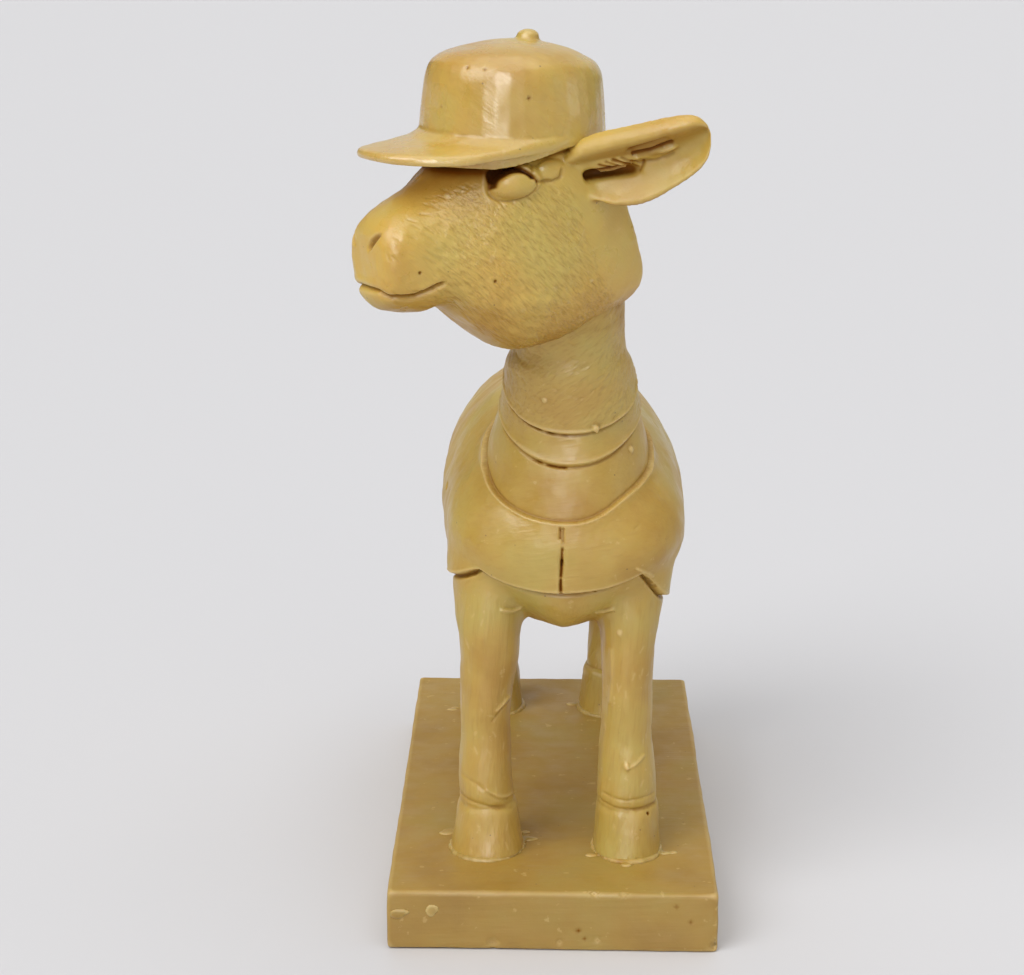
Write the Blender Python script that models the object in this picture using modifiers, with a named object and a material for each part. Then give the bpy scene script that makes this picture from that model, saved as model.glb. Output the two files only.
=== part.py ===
"""Goat figurine in a cap and jacket, standing on its plinth, as modelled and cast in carving wax.

Metres, +Z up. The origin is the middle of the plinth's underside, the goat's chest faces -Y, and its
head is turned towards -X. Sizes below are in millimetres, and finish() scales each mesh to metres.
"""

import math

import bmesh
import bpy
import numpy as np
from mathutils import Matrix, Vector

MM = 0.001

# Plinth, a plain slab
PLINTH_WIDTH = 66.0
PLINTH_LENGTH = 123.0
PLINTH_HEIGHT = 12.6
PLINTH_EDGE = 0.7
SEAT_GAP = 0.3

# Where the goat stands: the body's middle line drifts a little across the plinth
FRONT_MIDDLE_X = 2.1
REAR_MIDDLE_X = 0.4
FRONT_LEG_Y = -38.5
REAR_LEG_Y = 42.5

# Head: it looks HEAD_TURN degrees round from the chest, measured from its own frame at the cap's base
HEAD_TURN = 60.0
HEAD_PLACE = Vector((-8.8, -47.0, 158.0))

# Trunk, front to rear: y, height of the widest line, half width, rise to the back, drop to the belly
TRUNK = (
    (-48.8, 77.0, 6.5, 5.0, 6.5),
    (-47.0, 77.0, 13.0, 8.5, 11.5),
    (-43.0, 78.0, 19.0, 13.0, 16.0),
    (-35.0, 79.0, 22.8, 18.0, 20.0),
    (-22.0, 79.5, 24.0, 23.0, 23.0),
    (-4.0, 80.0, 24.6, 26.0, 25.0),
    (16.0, 80.0, 24.3, 23.5, 25.0),
    (33.0, 80.5, 22.5, 21.0, 21.0),
    (46.0, 81.0, 18.5, 17.5, 16.0),
    (54.0, 82.0, 12.0, 14.0, 11.0),
    (57.5, 83.0, 5.5, 7.0, 6.0),
)

SHOULDER_SQUARENESS = 1.77

# Neck, bottom to top: height, x, y, half width, half depth
NECK = (
    (76.0, 1.4, -25.0, 19.5, 23.8),
    (85.0, 1.8, -25.0, 18.6, 23.2),
    (94.0, 2.2, -26.0, 16.8, 20.0),
    (101.5, 2.4, -28.6, 14.8, 15.8),
    (108.0, 2.6, -31.6, 13.2, 13.8),
    (117.0, 2.2, -35.0, 11.4, 12.2),
    (128.0, 2.0, -39.0, 10.9, 11.8),
    (140.0, 2.0, -41.5, 11.0, 11.5),
)

# Front legs as carved, bottom to top: height, x, y, half width, half depth
RIGHT_FRONT_LEG = (
    (20.0, -13.6, -38.2, 5.5, 6.0),
    (25.0, -13.8, -38.6, 5.7, 6.3),
    (31.0, -14.0, -38.4, 5.5, 6.0),
    (38.0, -14.1, -38.0, 5.2, 5.7),
    (45.0, -13.9, -38.0, 5.3, 6.2),
    (54.0, -13.2, -37.0, 6.0, 7.4),
    (64.0, -13.4, -35.5, 7.1, 9.0),
    (76.0, -12.6, -32.0, 8.3, 11.0),
    (86.0, -11.0, -30.0, 7.0, 10.0),
)
LEFT_FRONT_LEG = (
    (20.0, 15.3, -38.2, 6.0, 6.3),
    (25.0, 15.1, -38.6, 6.3, 6.6),
    (31.0, 15.0, -38.4, 6.0, 6.2),
    (38.0, 14.9, -38.0, 5.4, 5.8),
    (45.0, 14.9, -38.0, 5.2, 6.1),
    (54.0, 14.8, -37.0, 5.4, 7.2),
    (64.0, 15.1, -35.5, 6.6, 8.8),
    (76.0, 14.8, -32.0, 8.4, 11.0),
    (86.0, 13.5, -30.0, 7.0, 10.0),
)

# Right hind leg in the same terms. The left one mirrors it about the middle of the rear.
HIND_LEG_MIDDLE_X = -0.4
HIND_LEG = (
    (20.0, -14.5, 43.0, 5.2, 5.8),
    (24.5, -14.7, 44.0, 5.9, 6.1),
    (31.0, -14.8, 46.5, 5.4, 5.4),
    (40.0, -14.8, 49.0, 5.4, 6.2),
    (47.0, -14.5, 49.5, 5.4, 7.2),
    (57.0, -14.0, 44.0, 6.8, 10.0),
    (69.0, -13.2, 38.5, 8.6, 14.0),
    (80.0, -11.8, 36.5, 9.0, 15.0),
    (88.0, -10.0, 37.0, 6.5, 11.5),
)

# Hooves: their height, and for each leg the half width and half depth of the sole and of the top
HOOF_HEIGHT = 10.4
HOOVES = {
    "right_front": ((7.5, 8.1), (5.8, 6.5)),
    "left_front": ((7.0, 8.0), (6.25, 6.7)),
    "right_hind": ((7.2, 8.0), (6.1, 6.6)),
    "left_hind": ((7.2, 8.0), (6.1, 6.6)),
}

# Head, nose to nape: s forward, height of the widest line, half width, rise, drop
HEAD = (
    (31.0, -18.0, 4.6, 4.0, 5.8),
    (30.4, -18.0, 6.8, 5.8, 7.7),
    (28.6, -18.0, 8.3, 7.7, 9.9),
    (25.8, -17.8, 8.9, 9.4, 10.9),
    (21.0, -17.0, 9.4, 11.2, 12.1),
    (16.5, -15.5, 10.8, 13.4, 13.2),
    (10.0, -13.0, 13.4, 15.5, 20.5),
    (3.0, -12.5, 14.8, 18.0, 25.3),
    (-4.0, -12.5, 15.2, 19.0, 24.6),
    (-10.0, -12.5, 15.0, 18.5, 21.8),
    (-15.2, -12.5, 14.0, 17.0, 18.4),
    (-18.0, -12.5, 12.6, 15.0, 16.4),
    (-19.2, -12.5, 10.5, 12.5, 14.0),
    (-19.8, -12.5, 6.0, 7.0, 9.0),
)
HEAD_SQUARENESS = 2.3
TEMPLE_SQUARENESS = 0.6
NAPE_SLOPE = 0.38

# Cap crown: height above its base, and its share of the base radius in front and behind
CROWN_LENGTH = 18.2
CROWN_BREADTH = 15.9
CROWN_HEIGHT = 19.6
CROWN = (
    (-2.0, 1.0, 0.95),
    (0.0, 1.0, 0.965),
    (5.0, 0.98, 0.965),
    (10.0, 0.95, 0.95),
    (13.0, 0.93, 0.93),
    (14.8, 0.91, 0.89),
    (16.0, 0.885, 0.835),
    (17.0, 0.84, 0.735),
    (18.2, 0.73, 0.605),
    (19.2, 0.50, 0.42),
    (19.9, 0.22, 0.22),
    (20.1, 0.05, 0.05),
)
# The crown's lower edge climbs towards the back of the head: its slope, where it starts, and its limit
RIM_CLIMB = 0.27
RIM_START = 10.0
RIM_MOST = 3.8
BUTTON_RADIUS = 2.1
BUTTON_HEIGHT = 1.4
BUTTON_BACK = -3.0

# Cap peak: how far it reaches from the cap's middle, its half breadth, droops and thickness. Its sides
# arch down less towards the back, by PEAK_ARCH_SHARE at the cap's middle and for each mm forward of it.
# It runs on round the crown as a rim that sinks in from PEAK_TURN to PEAK_END degrees, and a fillet
# joins its top to the crown.
PEAK_REACH = 31.0
PEAK_BREADTH = 17.2
PEAK_SQUARENESS = 2.2
PEAK_LIFT = 2.25
PEAK_SLOPE = 0.15
PEAK_ARCH = 2.3
PEAK_ARCH_SHARE = (0.10, 0.045)
PEAK_THICKNESS = 1.8
PEAK_TURN = 60.0
PEAK_END = 125.0
PEAK_SUNK = 0.90
PEAK_FILLET = 2.2

# Ear: root in the head, length, sweep back and rise in degrees, depth of its cup, its rolled upper rim
EAR_ROOT = (-3.0, 11.5, -2.7)
EAR_LENGTH = 28.8
EAR_SWEEP = 50.0
EAR_RISE = 19.0
EAR_CUP = 3.2
EAR_ROLL = 2.0
EAR_WALL = 2.8

# Ear outline, root to tip: share of the length, upper edge and lower edge about the line to the tip
EAR = (
    (0.0, 1.2, -2.4),
    (0.10, 2.8, -6.4),
    (0.22, 3.9, -8.9),
    (0.36, 4.0, -10.3),
    (0.50, 3.7, -10.7),
    (0.65, 3.2, -10.0),
    (0.80, 2.8, -8.8),
    (0.91, 2.2, -7.2),
    (0.97, 1.1, -5.0),
    (1.0, -0.6, -2.8),
)

# Folds inside the ear: share of the length, height across, lift out of the cup, and radii
EAR_FLAP = (0.30, -1.0, -1.0, (6.6, 2.3, 1.6))
EAR_RIDGE = (0.62, -2.0, -1.5, (4.8, 0.9, 1.2))

# Eye: place on the left side of the head (forward, out, up) and radii
EYE_PLACE = (6.8, 12.2, -3.8)
EYE_RADII = (5.2, 3.3, 3.3)
BROW_PLACE = (-0.6, 13.2, -2.8)
BROW_RADII = (3.4, 1.5, 2.2)

# Nostril and mouth: middle of the slit, its direction and half length, and the mouth's height and back end
NOSTRIL_PLACE = (30.6, 4.6, -15.3)
NOSTRIL_LINE = (-0.55, 0.45, 0.70)
NOSTRIL_HALF = 2.1
MOUTH_LOW = -24.9
MOUTH_BACK = 18.5

# Garment: how far the layers stand proud, and the planes that end them. The neckline is lifted a little at
# its left: x, half width and height of that kink.
JACKET_PROUD = 1.0
BAND_PROUD = 0.45
NECKLINE = (-48.0, 85.1, 0.48)
NECKLINE_KINK = (13.5, 5.0, 1.4)
BAND_LOWER = (-45.9, 95.7, 0.66)
BAND_UPPER = (-45.2, 101.7, 0.80)
HEM_MIDDLE = 71.0
HEM_MIDDLE_X = 1.0
HEM_RISE = 3.5
HEM_PEAK_X = 15.6
HEM_FALL_RIGHT = 0.55
HEM_FALL_LEFT = 1.4
FLANK_HEM = 65.0
REAR_EDGE_Y = 46.0

SOFT_VOXEL = 1.0
FINE_VOXEL = 0.55
GOAT_TRIANGLES = 9200

WAX_COLOUR = (0.58, 0.37, 0.11, 1.0)
PLINTH_COLOUR = (0.50, 0.31, 0.09, 1.0)
WAX_ROUGHNESS = 0.42


def smooth_rows(rows, steps):
    """Rows of numbers joined by a Catmull-Rom curve, with steps rows for each span."""
    rows = np.array(rows, float)
    padded = np.vstack((2 * rows[0] - rows[1], rows, 2 * rows[-1] - rows[-2]))
    out = []
    for i in range(len(rows) - 1):
        before, start, end, after = padded[i : i + 4]
        for t in np.linspace(0.0, 1.0, steps, endpoint=False):
            out.append(
                0.5
                * (
                    2 * start
                    + (end - before) * t
                    + (2 * before - 5 * start + 4 * end - after) * t**2
                    + (3 * start - before - 3 * end + after) * t**3
                )
            )
    out.append(rows[-1])
    return np.array(out)


def step(value):
    """0 to 1 as value goes from 0 to 1, with soft ends."""
    value = np.clip(value, 0.0, 1.0)
    return value * value * (3.0 - 2.0 * value)


def bump(distance, width):
    """1 at distance 0, falling to nothing over about twice the width."""
    return np.exp(-((distance / width) ** 2))


def oval(half_width, rise, drop, upper=2.1, lower=2.1, count=40):
    """A closed outline: across and up, with its own rise, drop and squareness above and below."""
    angle = np.linspace(0.0, 2.0 * math.pi, count, endpoint=False)
    cosine, sine = np.cos(angle), np.sin(angle)
    power = np.where(sine > 0, upper, lower)
    height = np.where(sine > 0, rise, drop)
    across = half_width * np.sign(cosine) * np.abs(cosine) ** (2.0 / power)
    up = height * np.sign(sine) * np.abs(sine) ** (2.0 / power)
    return across, up


def loft(name, rings):
    """A closed skin over rings of points, each end closed by a fan about its middle."""
    rings = np.array(rings, float)
    count, around = rings.shape[:2]
    model = bmesh.new()
    verts = [[model.verts.new(point) for point in ring] for ring in rings]
    for i in range(count - 1):
        for j in range(around):
            k = (j + 1) % around
            model.faces.new((verts[i][j], verts[i][k], verts[i + 1][k], verts[i + 1][j]))
    for row, ring in ((verts[0], rings[0]), (verts[-1], rings[-1])):
        middle = model.verts.new(ring.mean(axis=0))
        for j in range(around):
            model.faces.new((row[j], row[(j + 1) % around], middle))
    bmesh.ops.recalc_face_normals(model, faces=model.faces)
    return mesh_object(name, model)


def mesh_object(name, model):
    mesh = bpy.data.meshes.new(name)
    model.to_mesh(mesh)
    model.free()
    item = bpy.data.objects.new(name, mesh)
    bpy.context.scene.collection.objects.link(item)
    return item


def ball(name, centre, radii, turn=None):
    """An ellipsoid. turn is a matrix whose columns are the directions of its radii."""
    model = bmesh.new()
    bmesh.ops.create_uvsphere(model, u_segments=32, v_segments=20, radius=1.0)
    scale = Matrix.Diagonal((*radii, 1.0))
    turn = turn.to_4x4() if turn else Matrix.Identity(4)
    bmesh.ops.transform(model, matrix=Matrix.Translation(centre) @ turn @ scale, verts=model.verts)
    return mesh_object(name, model)


def apply_modifiers(item):
    """The object with its modifiers' result as its own mesh."""
    graph = bpy.context.evaluated_depsgraph_get()
    made = bpy.data.meshes.new_from_object(item.evaluated_get(graph))
    old = item.data
    item.modifiers.clear()
    item.data = made
    bpy.data.meshes.remove(old)
    return item


def fuse(name, items, voxel, smoothing):
    """Overlapping closed forms joined into one skin of voxel-sized faces, then smoothed."""
    model = bmesh.new()
    for item in items:
        model.from_mesh(item.data)
        mesh = item.data
        bpy.data.objects.remove(item)
        bpy.data.meshes.remove(mesh)
    joined = mesh_object(name, model)
    remesh = joined.modifiers.new("remesh", "REMESH")
    remesh.mode = "VOXEL"
    remesh.voxel_size = voxel
    if smoothing:
        soft = joined.modifiers.new("soft", "SMOOTH")
        soft.factor = 0.5
        soft.iterations = smoothing
    return apply_modifiers(joined)


def middle_x(y):
    """The body's middle line, which crosses the plinth at a slight angle."""
    share = (y - FRONT_LEG_Y) / (REAR_LEG_Y - FRONT_LEG_Y)
    return FRONT_MIDDLE_X + (REAR_MIDDLE_X - FRONT_MIDDLE_X) * share


def head_axes():
    """The head's own directions: forward, out to its left, and up."""
    turn = math.radians(HEAD_TURN)
    forward = Vector((-math.sin(turn), -math.cos(turn), 0.0))
    up = Vector((0.0, 0.0, 1.0))
    return forward, up.cross(forward), up


def head_point(forward, out, up):
    a, b, c = head_axes()
    return HEAD_PLACE + a * forward + b * out + c * up


def to_head(points):
    """World points as forward, out and up in the head's frame."""
    axes = np.array([tuple(axis) for axis in head_axes()])
    return (points - np.array(HEAD_PLACE)) @ axes.T


def trunk():
    rings = []
    for y, height, half, rise, drop in smooth_rows(TRUNK, 5):
        chest = float(step(np.array((-20.0 - y) / 20.0)))
        across, up = oval(half, rise, drop, upper=SHOULDER_SQUARENESS, lower=2.1 - 0.85 * chest)
        rings.append(np.column_stack((across + middle_x(y), np.full_like(across, y), up + height)))
    return loft("trunk", rings)


def neck():
    rings = []
    for height, x, y, half, depth in smooth_rows(NECK, 4):
        across, along = oval(half, depth, depth)
        rings.append(np.column_stack((across + x, along + y, np.full_like(across, height))))
    return loft("neck", rings)


def leg_rows():
    """The four legs' tables, by name."""
    mirrored = [(z, 2 * HIND_LEG_MIDDLE_X - x, y, half, depth) for z, x, y, half, depth in HIND_LEG]
    return {
        "right_front": RIGHT_FRONT_LEG,
        "left_front": LEFT_FRONT_LEG,
        "right_hind": HIND_LEG,
        "left_hind": mirrored,
    }


def leg(name, rows):
    """One leg above its hoof."""
    rings = []
    for height, x, y, half, depth in smooth_rows(rows, 4):
        across, along = oval(half, depth, depth)
        rings.append(np.column_stack((across + x, along + y, np.full_like(across, height))))
    return loft(name, rings)


def hoof(name):
    """A leg's hoof, like a cut cone, its toe forward of the leg."""
    foot = leg_rows()[name][0]
    sole_size, top_size = HOOVES[name]
    x = foot[1]
    sole = PLINTH_HEIGHT + SEAT_GAP
    rings = []
    for share, lift in ((0.0, 0.0), (0.35, 0.35), (0.8, 0.85), (1.0, 0.97), (0.97, 1.0)):
        half = sole_size[0] + (top_size[0] - sole_size[0]) * share
        depth = sole_size[1] + (top_size[1] - sole_size[1]) * share
        if lift == 1.0:
            half, depth = half * 0.86, depth * 0.86
        across, along = oval(half, depth, depth, upper=2.3, lower=2.3)
        height = np.full_like(across, sole + HOOF_HEIGHT * lift)
        rings.append(np.column_stack((across + x, along + foot[2] - 0.6 + share * 0.8, height)))
    return loft(name + "_hoof", rings)


def skull():
    rings = []
    for s, height, half, rise, drop in smooth_rows(HEAD, 5):
        jaw = float(step(np.array((20.0 - s) / 16.0)))
        lean = NAPE_SLOPE * float(step(np.array(-s / 20.0)))
        temple = TEMPLE_SQUARENESS * float(step(np.array((3.0 - s) / 8.0)))
        upper, lower = HEAD_SQUARENESS + temple, HEAD_SQUARENESS + 0.4 * jaw
        across, up = oval(half, rise, drop, upper=upper, lower=lower)
        rings.append([tuple(head_point(s + lean * u, a, height + u)) for a, u in zip(across, up)])
    return loft("skull", rings)


def rim_climb(s, lift):
    """How far the crown's lower edge is raised there. The crown above it closes up to take the change."""
    climb = min(RIM_MOST, max(0.0, RIM_CLIMB * (RIM_START - s)))
    return climb * max(0.0, 1.0 - (lift + 2.0) / 7.0)


def crown():
    rings = []
    for lift, front, rear in smooth_rows(CROWN, 4):
        breadth = CROWN_BREADTH * (front + rear) / 2
        across, along = oval(breadth, CROWN_LENGTH * front, CROWN_LENGTH * rear)
        rings.append([tuple(head_point(s, a, lift + rim_climb(s, lift))) for a, s in zip(across, along)])
    return loft("crown", rings)


def peak_outline(angle):
    """Root and edge of the cap's peak in one direction, and how far round its rim has sunk in there."""
    half = PEAK_THICKNESS / 2
    cosine, sine = math.cos(angle), math.sin(angle)
    root = (CROWN_LENGTH * 0.75 * cosine, CROWN_BREADTH * 0.75 * sine)
    sunk = max(0.0, (math.degrees(abs(angle)) - PEAK_TURN) / (PEAK_END - PEAK_TURN))
    if cosine > 0:
        power = 2.0 / PEAK_SQUARENESS
        forward = (PEAK_REACH - half) * cosine**power
        out = (PEAK_BREADTH - half) * math.copysign(abs(sine) ** power, sine)
    else:
        forward = (PEAK_BREADTH - half) * CROWN_LENGTH / CROWN_BREADTH * cosine
        out = (PEAK_BREADTH - half) * sine
    inner = (CROWN_LENGTH * PEAK_SUNK * cosine, CROWN_BREADTH * PEAK_SUNK * sine)
    edge = (forward + (inner[0] - forward) * sunk, out + (inner[1] - out) * sunk)
    return root, edge, sunk


def peak():
    """The cap's peak: a plate that starts inside the crown, drooping forward and at its sides."""
    across_steps, out_steps = 57, 10
    half = PEAK_THICKNESS / 2
    rings = []
    for i in range(across_steps):
        root, edge, sunk = peak_outline(math.radians(PEAK_END * (2.0 * i / (across_steps - 1) - 1.0)))
        length = math.hypot(edge[0] - root[0], edge[1] - root[1])
        outward = ((edge[0] - root[0]) / length, (edge[1] - root[1]) / length)
        profile = [(length * j / out_steps, half) for j in range(out_steps + 1)]
        lip = [math.radians(90.0 - 30.0 * k) for k in range(1, 6)]
        profile += [(length + half * math.cos(a), half * math.sin(a)) for a in lip]
        profile += [(distance, -height) for distance, height in profile[out_steps::-1]]
        ring = []
        for distance, height in profile:
            s = root[0] + outward[0] * distance
            out = root[1] + outward[1] * distance
            reach = CROWN_LENGTH * max(0.0, math.hypot(s / CROWN_LENGTH, out / CROWN_BREADTH) - 1.0)
            share = min(1.0, PEAK_ARCH_SHARE[0] + PEAK_ARCH_SHARE[1] * s)
            arch = share * PEAK_ARCH * (out / PEAK_BREADTH) ** 2 * min(1.0, distance / length)
            if height > 0.0:
                height += 0.5 * PEAK_FILLET * max(0.0, 1.0 - reach / PEAK_FILLET) ** 2 * (1.0 - sunk)
            ring.append(tuple(head_point(s, out, PEAK_LIFT - PEAK_SLOPE * reach - arch + height)))
        rings.append(ring)
    return loft("peak", rings)


def button():
    place = head_point(BUTTON_BACK, 0.0, CROWN_HEIGHT + BUTTON_HEIGHT * 0.65)
    return ball("button", place, (BUTTON_RADIUS, BUTTON_RADIUS, BUTTON_HEIGHT))


def ear_frame(side):
    """An ear's root and its directions: along, across its breadth, and out of its cup. side 1 is left."""
    forward, left, up = head_axes()
    sweep, rise = math.radians(EAR_SWEEP), math.radians(EAR_RISE)
    level = left * side * math.cos(sweep) - forward * math.sin(sweep)
    along = level * math.cos(rise) + up * math.sin(rise)
    across = (up - along * up.dot(along)).normalized()
    root = head_point(EAR_ROOT[0], EAR_ROOT[1] * side, EAR_ROOT[2])
    return root, along, across, along.cross(across) * side


def ear(name, side):
    """A cupped leaf: each section is a crescent, open to the front, with a rolled upper rim."""
    root, along, across, opening = ear_frame(side)
    spread = np.linspace(-1.0, 1.0, 21)
    rings = []
    for t, upper, lower in smooth_rows(EAR, 4):
        half, middle = (upper - lower) / 2, (upper + lower) / 2
        size = min(1.0, half / 6.0)
        ring = []
        for a, face in [(a, -1) for a in spread] + [(a, 1) for a in spread[::-1]]:
            roll = bump(a - 0.57, 0.36)
            cup = -EAR_CUP * (1.0 - a * a) * (1.0 - 0.35 * a) + EAR_ROLL * roll
            wall = 0.5 * EAR_WALL * (1.0 + 0.7 * roll) * math.sqrt(1.0 - abs(a) ** 9)
            place = root + along * (EAR_LENGTH * t) + across * (middle + half * a)
            ring.append(tuple(place + opening * (size * (cup + face * wall))))
        rings.append(ring)
    return loft(name, rings)


def ear_fold(name, side, fold):
    """A tongue of wax inside the ear's cup."""
    root, along, across, opening = ear_frame(side)
    share, height, lift, radii = fold
    place = root + along * (EAR_LENGTH * share) + across * height + opening * lift
    lean = (along - across * 0.16).normalized()
    turn = Matrix((lean, opening.cross(lean), opening)).transposed()
    return ball(name, place, radii, turn)


def eye(name, side):
    forward, left, up = head_axes()
    tilt = math.radians(10.0)
    length = (forward * math.cos(tilt) - up * math.sin(tilt) - left * side * 0.18).normalized()
    outward = (left * side - length * length.dot(left * side)).normalized()
    turn = Matrix((length, outward, length.cross(outward))).transposed()
    place = head_point(EYE_PLACE[0], EYE_PLACE[1] * side, EYE_PLACE[2])
    return ball(name, place, EYE_RADII, turn)


def brow(name, side):
    forward, left, up = head_axes()
    turn = Matrix((forward, left * side, up)).transposed()
    place = head_point(BROW_PLACE[0], BROW_PLACE[1] * side, BROW_PLACE[2])
    return ball(name, place, BROW_RADII, turn)


def tail():
    rings = []
    for y, height, half, rise in smooth_rows(
        ((50.0, 94.0, 4.5, 5.0), (56.5, 96.0, 4.0, 4.0), (60.0, 101.0, 3.2, 3.0), (61.0, 106.5, 1.4, 1.4)), 4
    ):
        across, up = oval(half, rise, rise, count=24)
        lean = math.radians(20.0)
        rings.append(
            np.column_stack(
                (across + middle_x(y), y - up * math.sin(lean) * 2.0, height + up * math.cos(lean))
            )
        )
    return loft("tail", rings)


def soft_body():
    """Trunk, neck and legs, flowing into each other."""
    forms = [trunk(), neck(), tail()]
    for name, rows in leg_rows().items():
        forms.append(leg(name + "_leg", rows))
    body = fuse("soft_body", forms, SOFT_VOXEL, 14)
    body.modifiers.new("rounding", "SUBSURF").levels = 1
    return apply_modifiers(body)


def soft_head():
    head = fuse("soft_head", [skull()], SOFT_VOXEL, 6)
    head.modifiers.new("rounding", "SUBSURF").levels = 1
    return apply_modifiers(head)


def plane_gap(points, plane):
    """Height of points below a plane that rises to the rear: y and height of a point of it, and slope."""
    y, height, slope = plane
    return (height + slope * (points[:, 1] - y) - points[:, 2]) / math.hypot(1.0, slope)


def neckline_gap(points):
    """Height of points below the jacket's neckline."""
    x, half, lift = NECKLINE_KINK
    kink = lift * bump(points[:, 0] - x, half) * step((-30.0 - points[:, 1]) / 8.0)
    return plane_gap(points, NECKLINE) + kink


def hem_gap(points):
    """How far points lie above the jacket's hem, which arches over each front leg."""
    out = np.abs(points[:, 0] - HEM_MIDDLE_X)
    fall = np.where(points[:, 0] < HEM_MIDDLE_X, HEM_FALL_RIGHT, HEM_FALL_LEFT)
    arch = np.where(
        out < HEM_PEAK_X,
        HEM_RISE * (out / HEM_PEAK_X) ** 2,
        HEM_RISE - fall * (out - HEM_PEAK_X),
    )
    to_flank = step((points[:, 1] + 36.0) / 14.0)
    front = HEM_MIDDLE + arch
    return points[:, 2] - (front + (FLANK_HEM - front) * to_flank)


def garment(points):
    """How far the clothes stand proud of each point: jacket, collar bands and the grooves beside them."""
    neckline = neckline_gap(points)
    jacket = np.minimum(neckline, hem_gap(points))
    jacket = np.minimum(jacket, REAR_EDGE_Y - points[:, 1])
    on_body = step((118.0 - points[:, 2]) / 4.0)
    proud = JACKET_PROUD * step(jacket / 0.5 + 0.5)
    proud -= 0.5 * bump(jacket + 0.6, 0.5) * step((72.0 - points[:, 2]) / 4.0 + 1.0)
    above_neckline = step(-neckline / 0.5)
    band = step(-plane_gap(points, BAND_LOWER) / 0.4 + 0.5)
    skin = step(-plane_gap(points, BAND_UPPER) / 0.4 + 0.5)
    proud += BAND_PROUD * (band + skin) * above_neckline
    return proud * on_body


def mouth_groove(local):
    """Depth of the mouth line, which runs back from the lips along both sides, with a lip on each side."""
    s, up = local[:, 0], local[:, 2]
    line = MOUTH_LOW + 1.5 * step((26.0 - s) / 7.0) + 1.3 * step((s - 29.0) / 2.5)
    reach = step((s - MOUTH_BACK) / 1.5)
    return (1.0 * bump(up - line, 0.4) - 0.12 * bump(np.abs(up - line) - 1.2, 0.7)) * reach


def nostril_groove(local):
    """Depth of the two slanting nostrils, each with a raised rim."""
    direction = np.array(Vector(NOSTRIL_LINE).normalized())
    offset = np.column_stack((local[:, 0], np.abs(local[:, 1]), local[:, 2])) - np.array(NOSTRIL_PLACE)
    along = offset @ direction
    aside = np.linalg.norm(offset - along[:, None] * direction, axis=1)
    slit = 1.2 * bump(along, NOSTRIL_HALF) * bump(aside, 0.75)
    return slit - 0.3 * bump(along, 1.5 * NOSTRIL_HALF) * bump(aside - 1.8, 0.7)


def eye_socket(local):
    """Depth of the hollow that rings each eye, deepest above and in front, and of the lid round it."""
    s, out, up = local[:, 0] - EYE_PLACE[0], np.abs(local[:, 1]), local[:, 2] - EYE_PLACE[2]
    ring = np.sqrt((s / (EYE_RADII[0] + 0.3)) ** 2 + (up / (EYE_RADII[2] + 0.3)) ** 2)
    deep = 0.35 + 0.55 * step(0.5 + 0.5 * (up / EYE_RADII[2] + s / EYE_RADII[0]))
    lid = 0.3 * bump(ring - 1.24, 0.08) * step(0.5 + s / EYE_RADII[0])
    return (deep * bump(ring - 1.06, 0.12) - lid) * step((out - 8.0) / 2.0) * step(16.0 - out)


def ear_groove(points, normals):
    """Depth of the dark hollow under the ear's flap and of the slit above its ridge."""
    depth = np.zeros(len(points))
    for side in (-1, 1):
        root, along, across, opening = (np.array(v) for v in ear_frame(side))
        offset = points - root
        share = offset @ along / EAR_LENGTH
        height = offset @ across
        inner = step(2.0 * (normals @ opening)) * (np.abs(offset @ opening) < 7.0) * (height < 4.0)
        hollow = bump(height + 2.2 + 5.0 * share, 0.9) * step((share - 0.1) / 0.06)
        hollow *= step((0.52 - share) / 0.1)
        slit = bump(height + 0.8, 0.45) * step((share - 0.44) / 0.06) * step((0.78 - share) / 0.08)
        depth += inner * (1.6 * hollow + 0.8 * slit)
    return depth


def hoof_groove(points):
    """Depth of the groove where each hoof meets its pastern."""
    top = PLINTH_HEIGHT + SEAT_GAP + HOOF_HEIGHT
    return 0.5 * bump(points[:, 2] - top, 0.6)


def carve(goat):
    """Moves the skin out for the clothes and in for the grooves."""
    mesh = goat.data
    count = len(mesh.vertices)
    points = np.empty(count * 3, np.float32)
    normals = np.empty(count * 3, np.float32)
    mesh.vertices.foreach_get("co", points)
    mesh.vertices.foreach_get("normal", normals)
    points = points.reshape(-1, 3).astype(float)
    normals = normals.reshape(-1, 3).astype(float)
    local = to_head(points)
    face = (points[:, 2] > 118.0) & (local[:, 2] < -0.5)
    shift = garment(points) - hoof_groove(points) - ear_groove(points, normals)
    shift -= np.where(face, mouth_groove(local) + nostril_groove(local) + eye_socket(local), 0.0)
    points += normals * shift[:, None]
    mesh.vertices.foreach_set("co", points.astype(np.float32).ravel())
    mesh.update()


def goat():
    """The whole figure, cast as one piece."""
    forms = [soft_body(), soft_head(), crown(), peak(), button()]
    forms += [hoof(name) for name in HOOVES]
    for side in (-1, 1):
        forms.append(ear("ear", side))
        forms.append(ear_fold("ear_flap", side, EAR_FLAP))
        forms.append(ear_fold("ear_ridge", side, EAR_RIDGE))
        forms.append(eye("eye", side))
        forms.append(brow("brow", side))
    figure = fuse("goat", forms, FINE_VOXEL, 3)
    carve(figure)
    thin = figure.modifiers.new("fewer", "DECIMATE")
    triangles = sum(len(face.vertices) - 2 for face in figure.data.polygons)
    thin.ratio = GOAT_TRIANGLES / triangles
    return apply_modifiers(figure)


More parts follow.
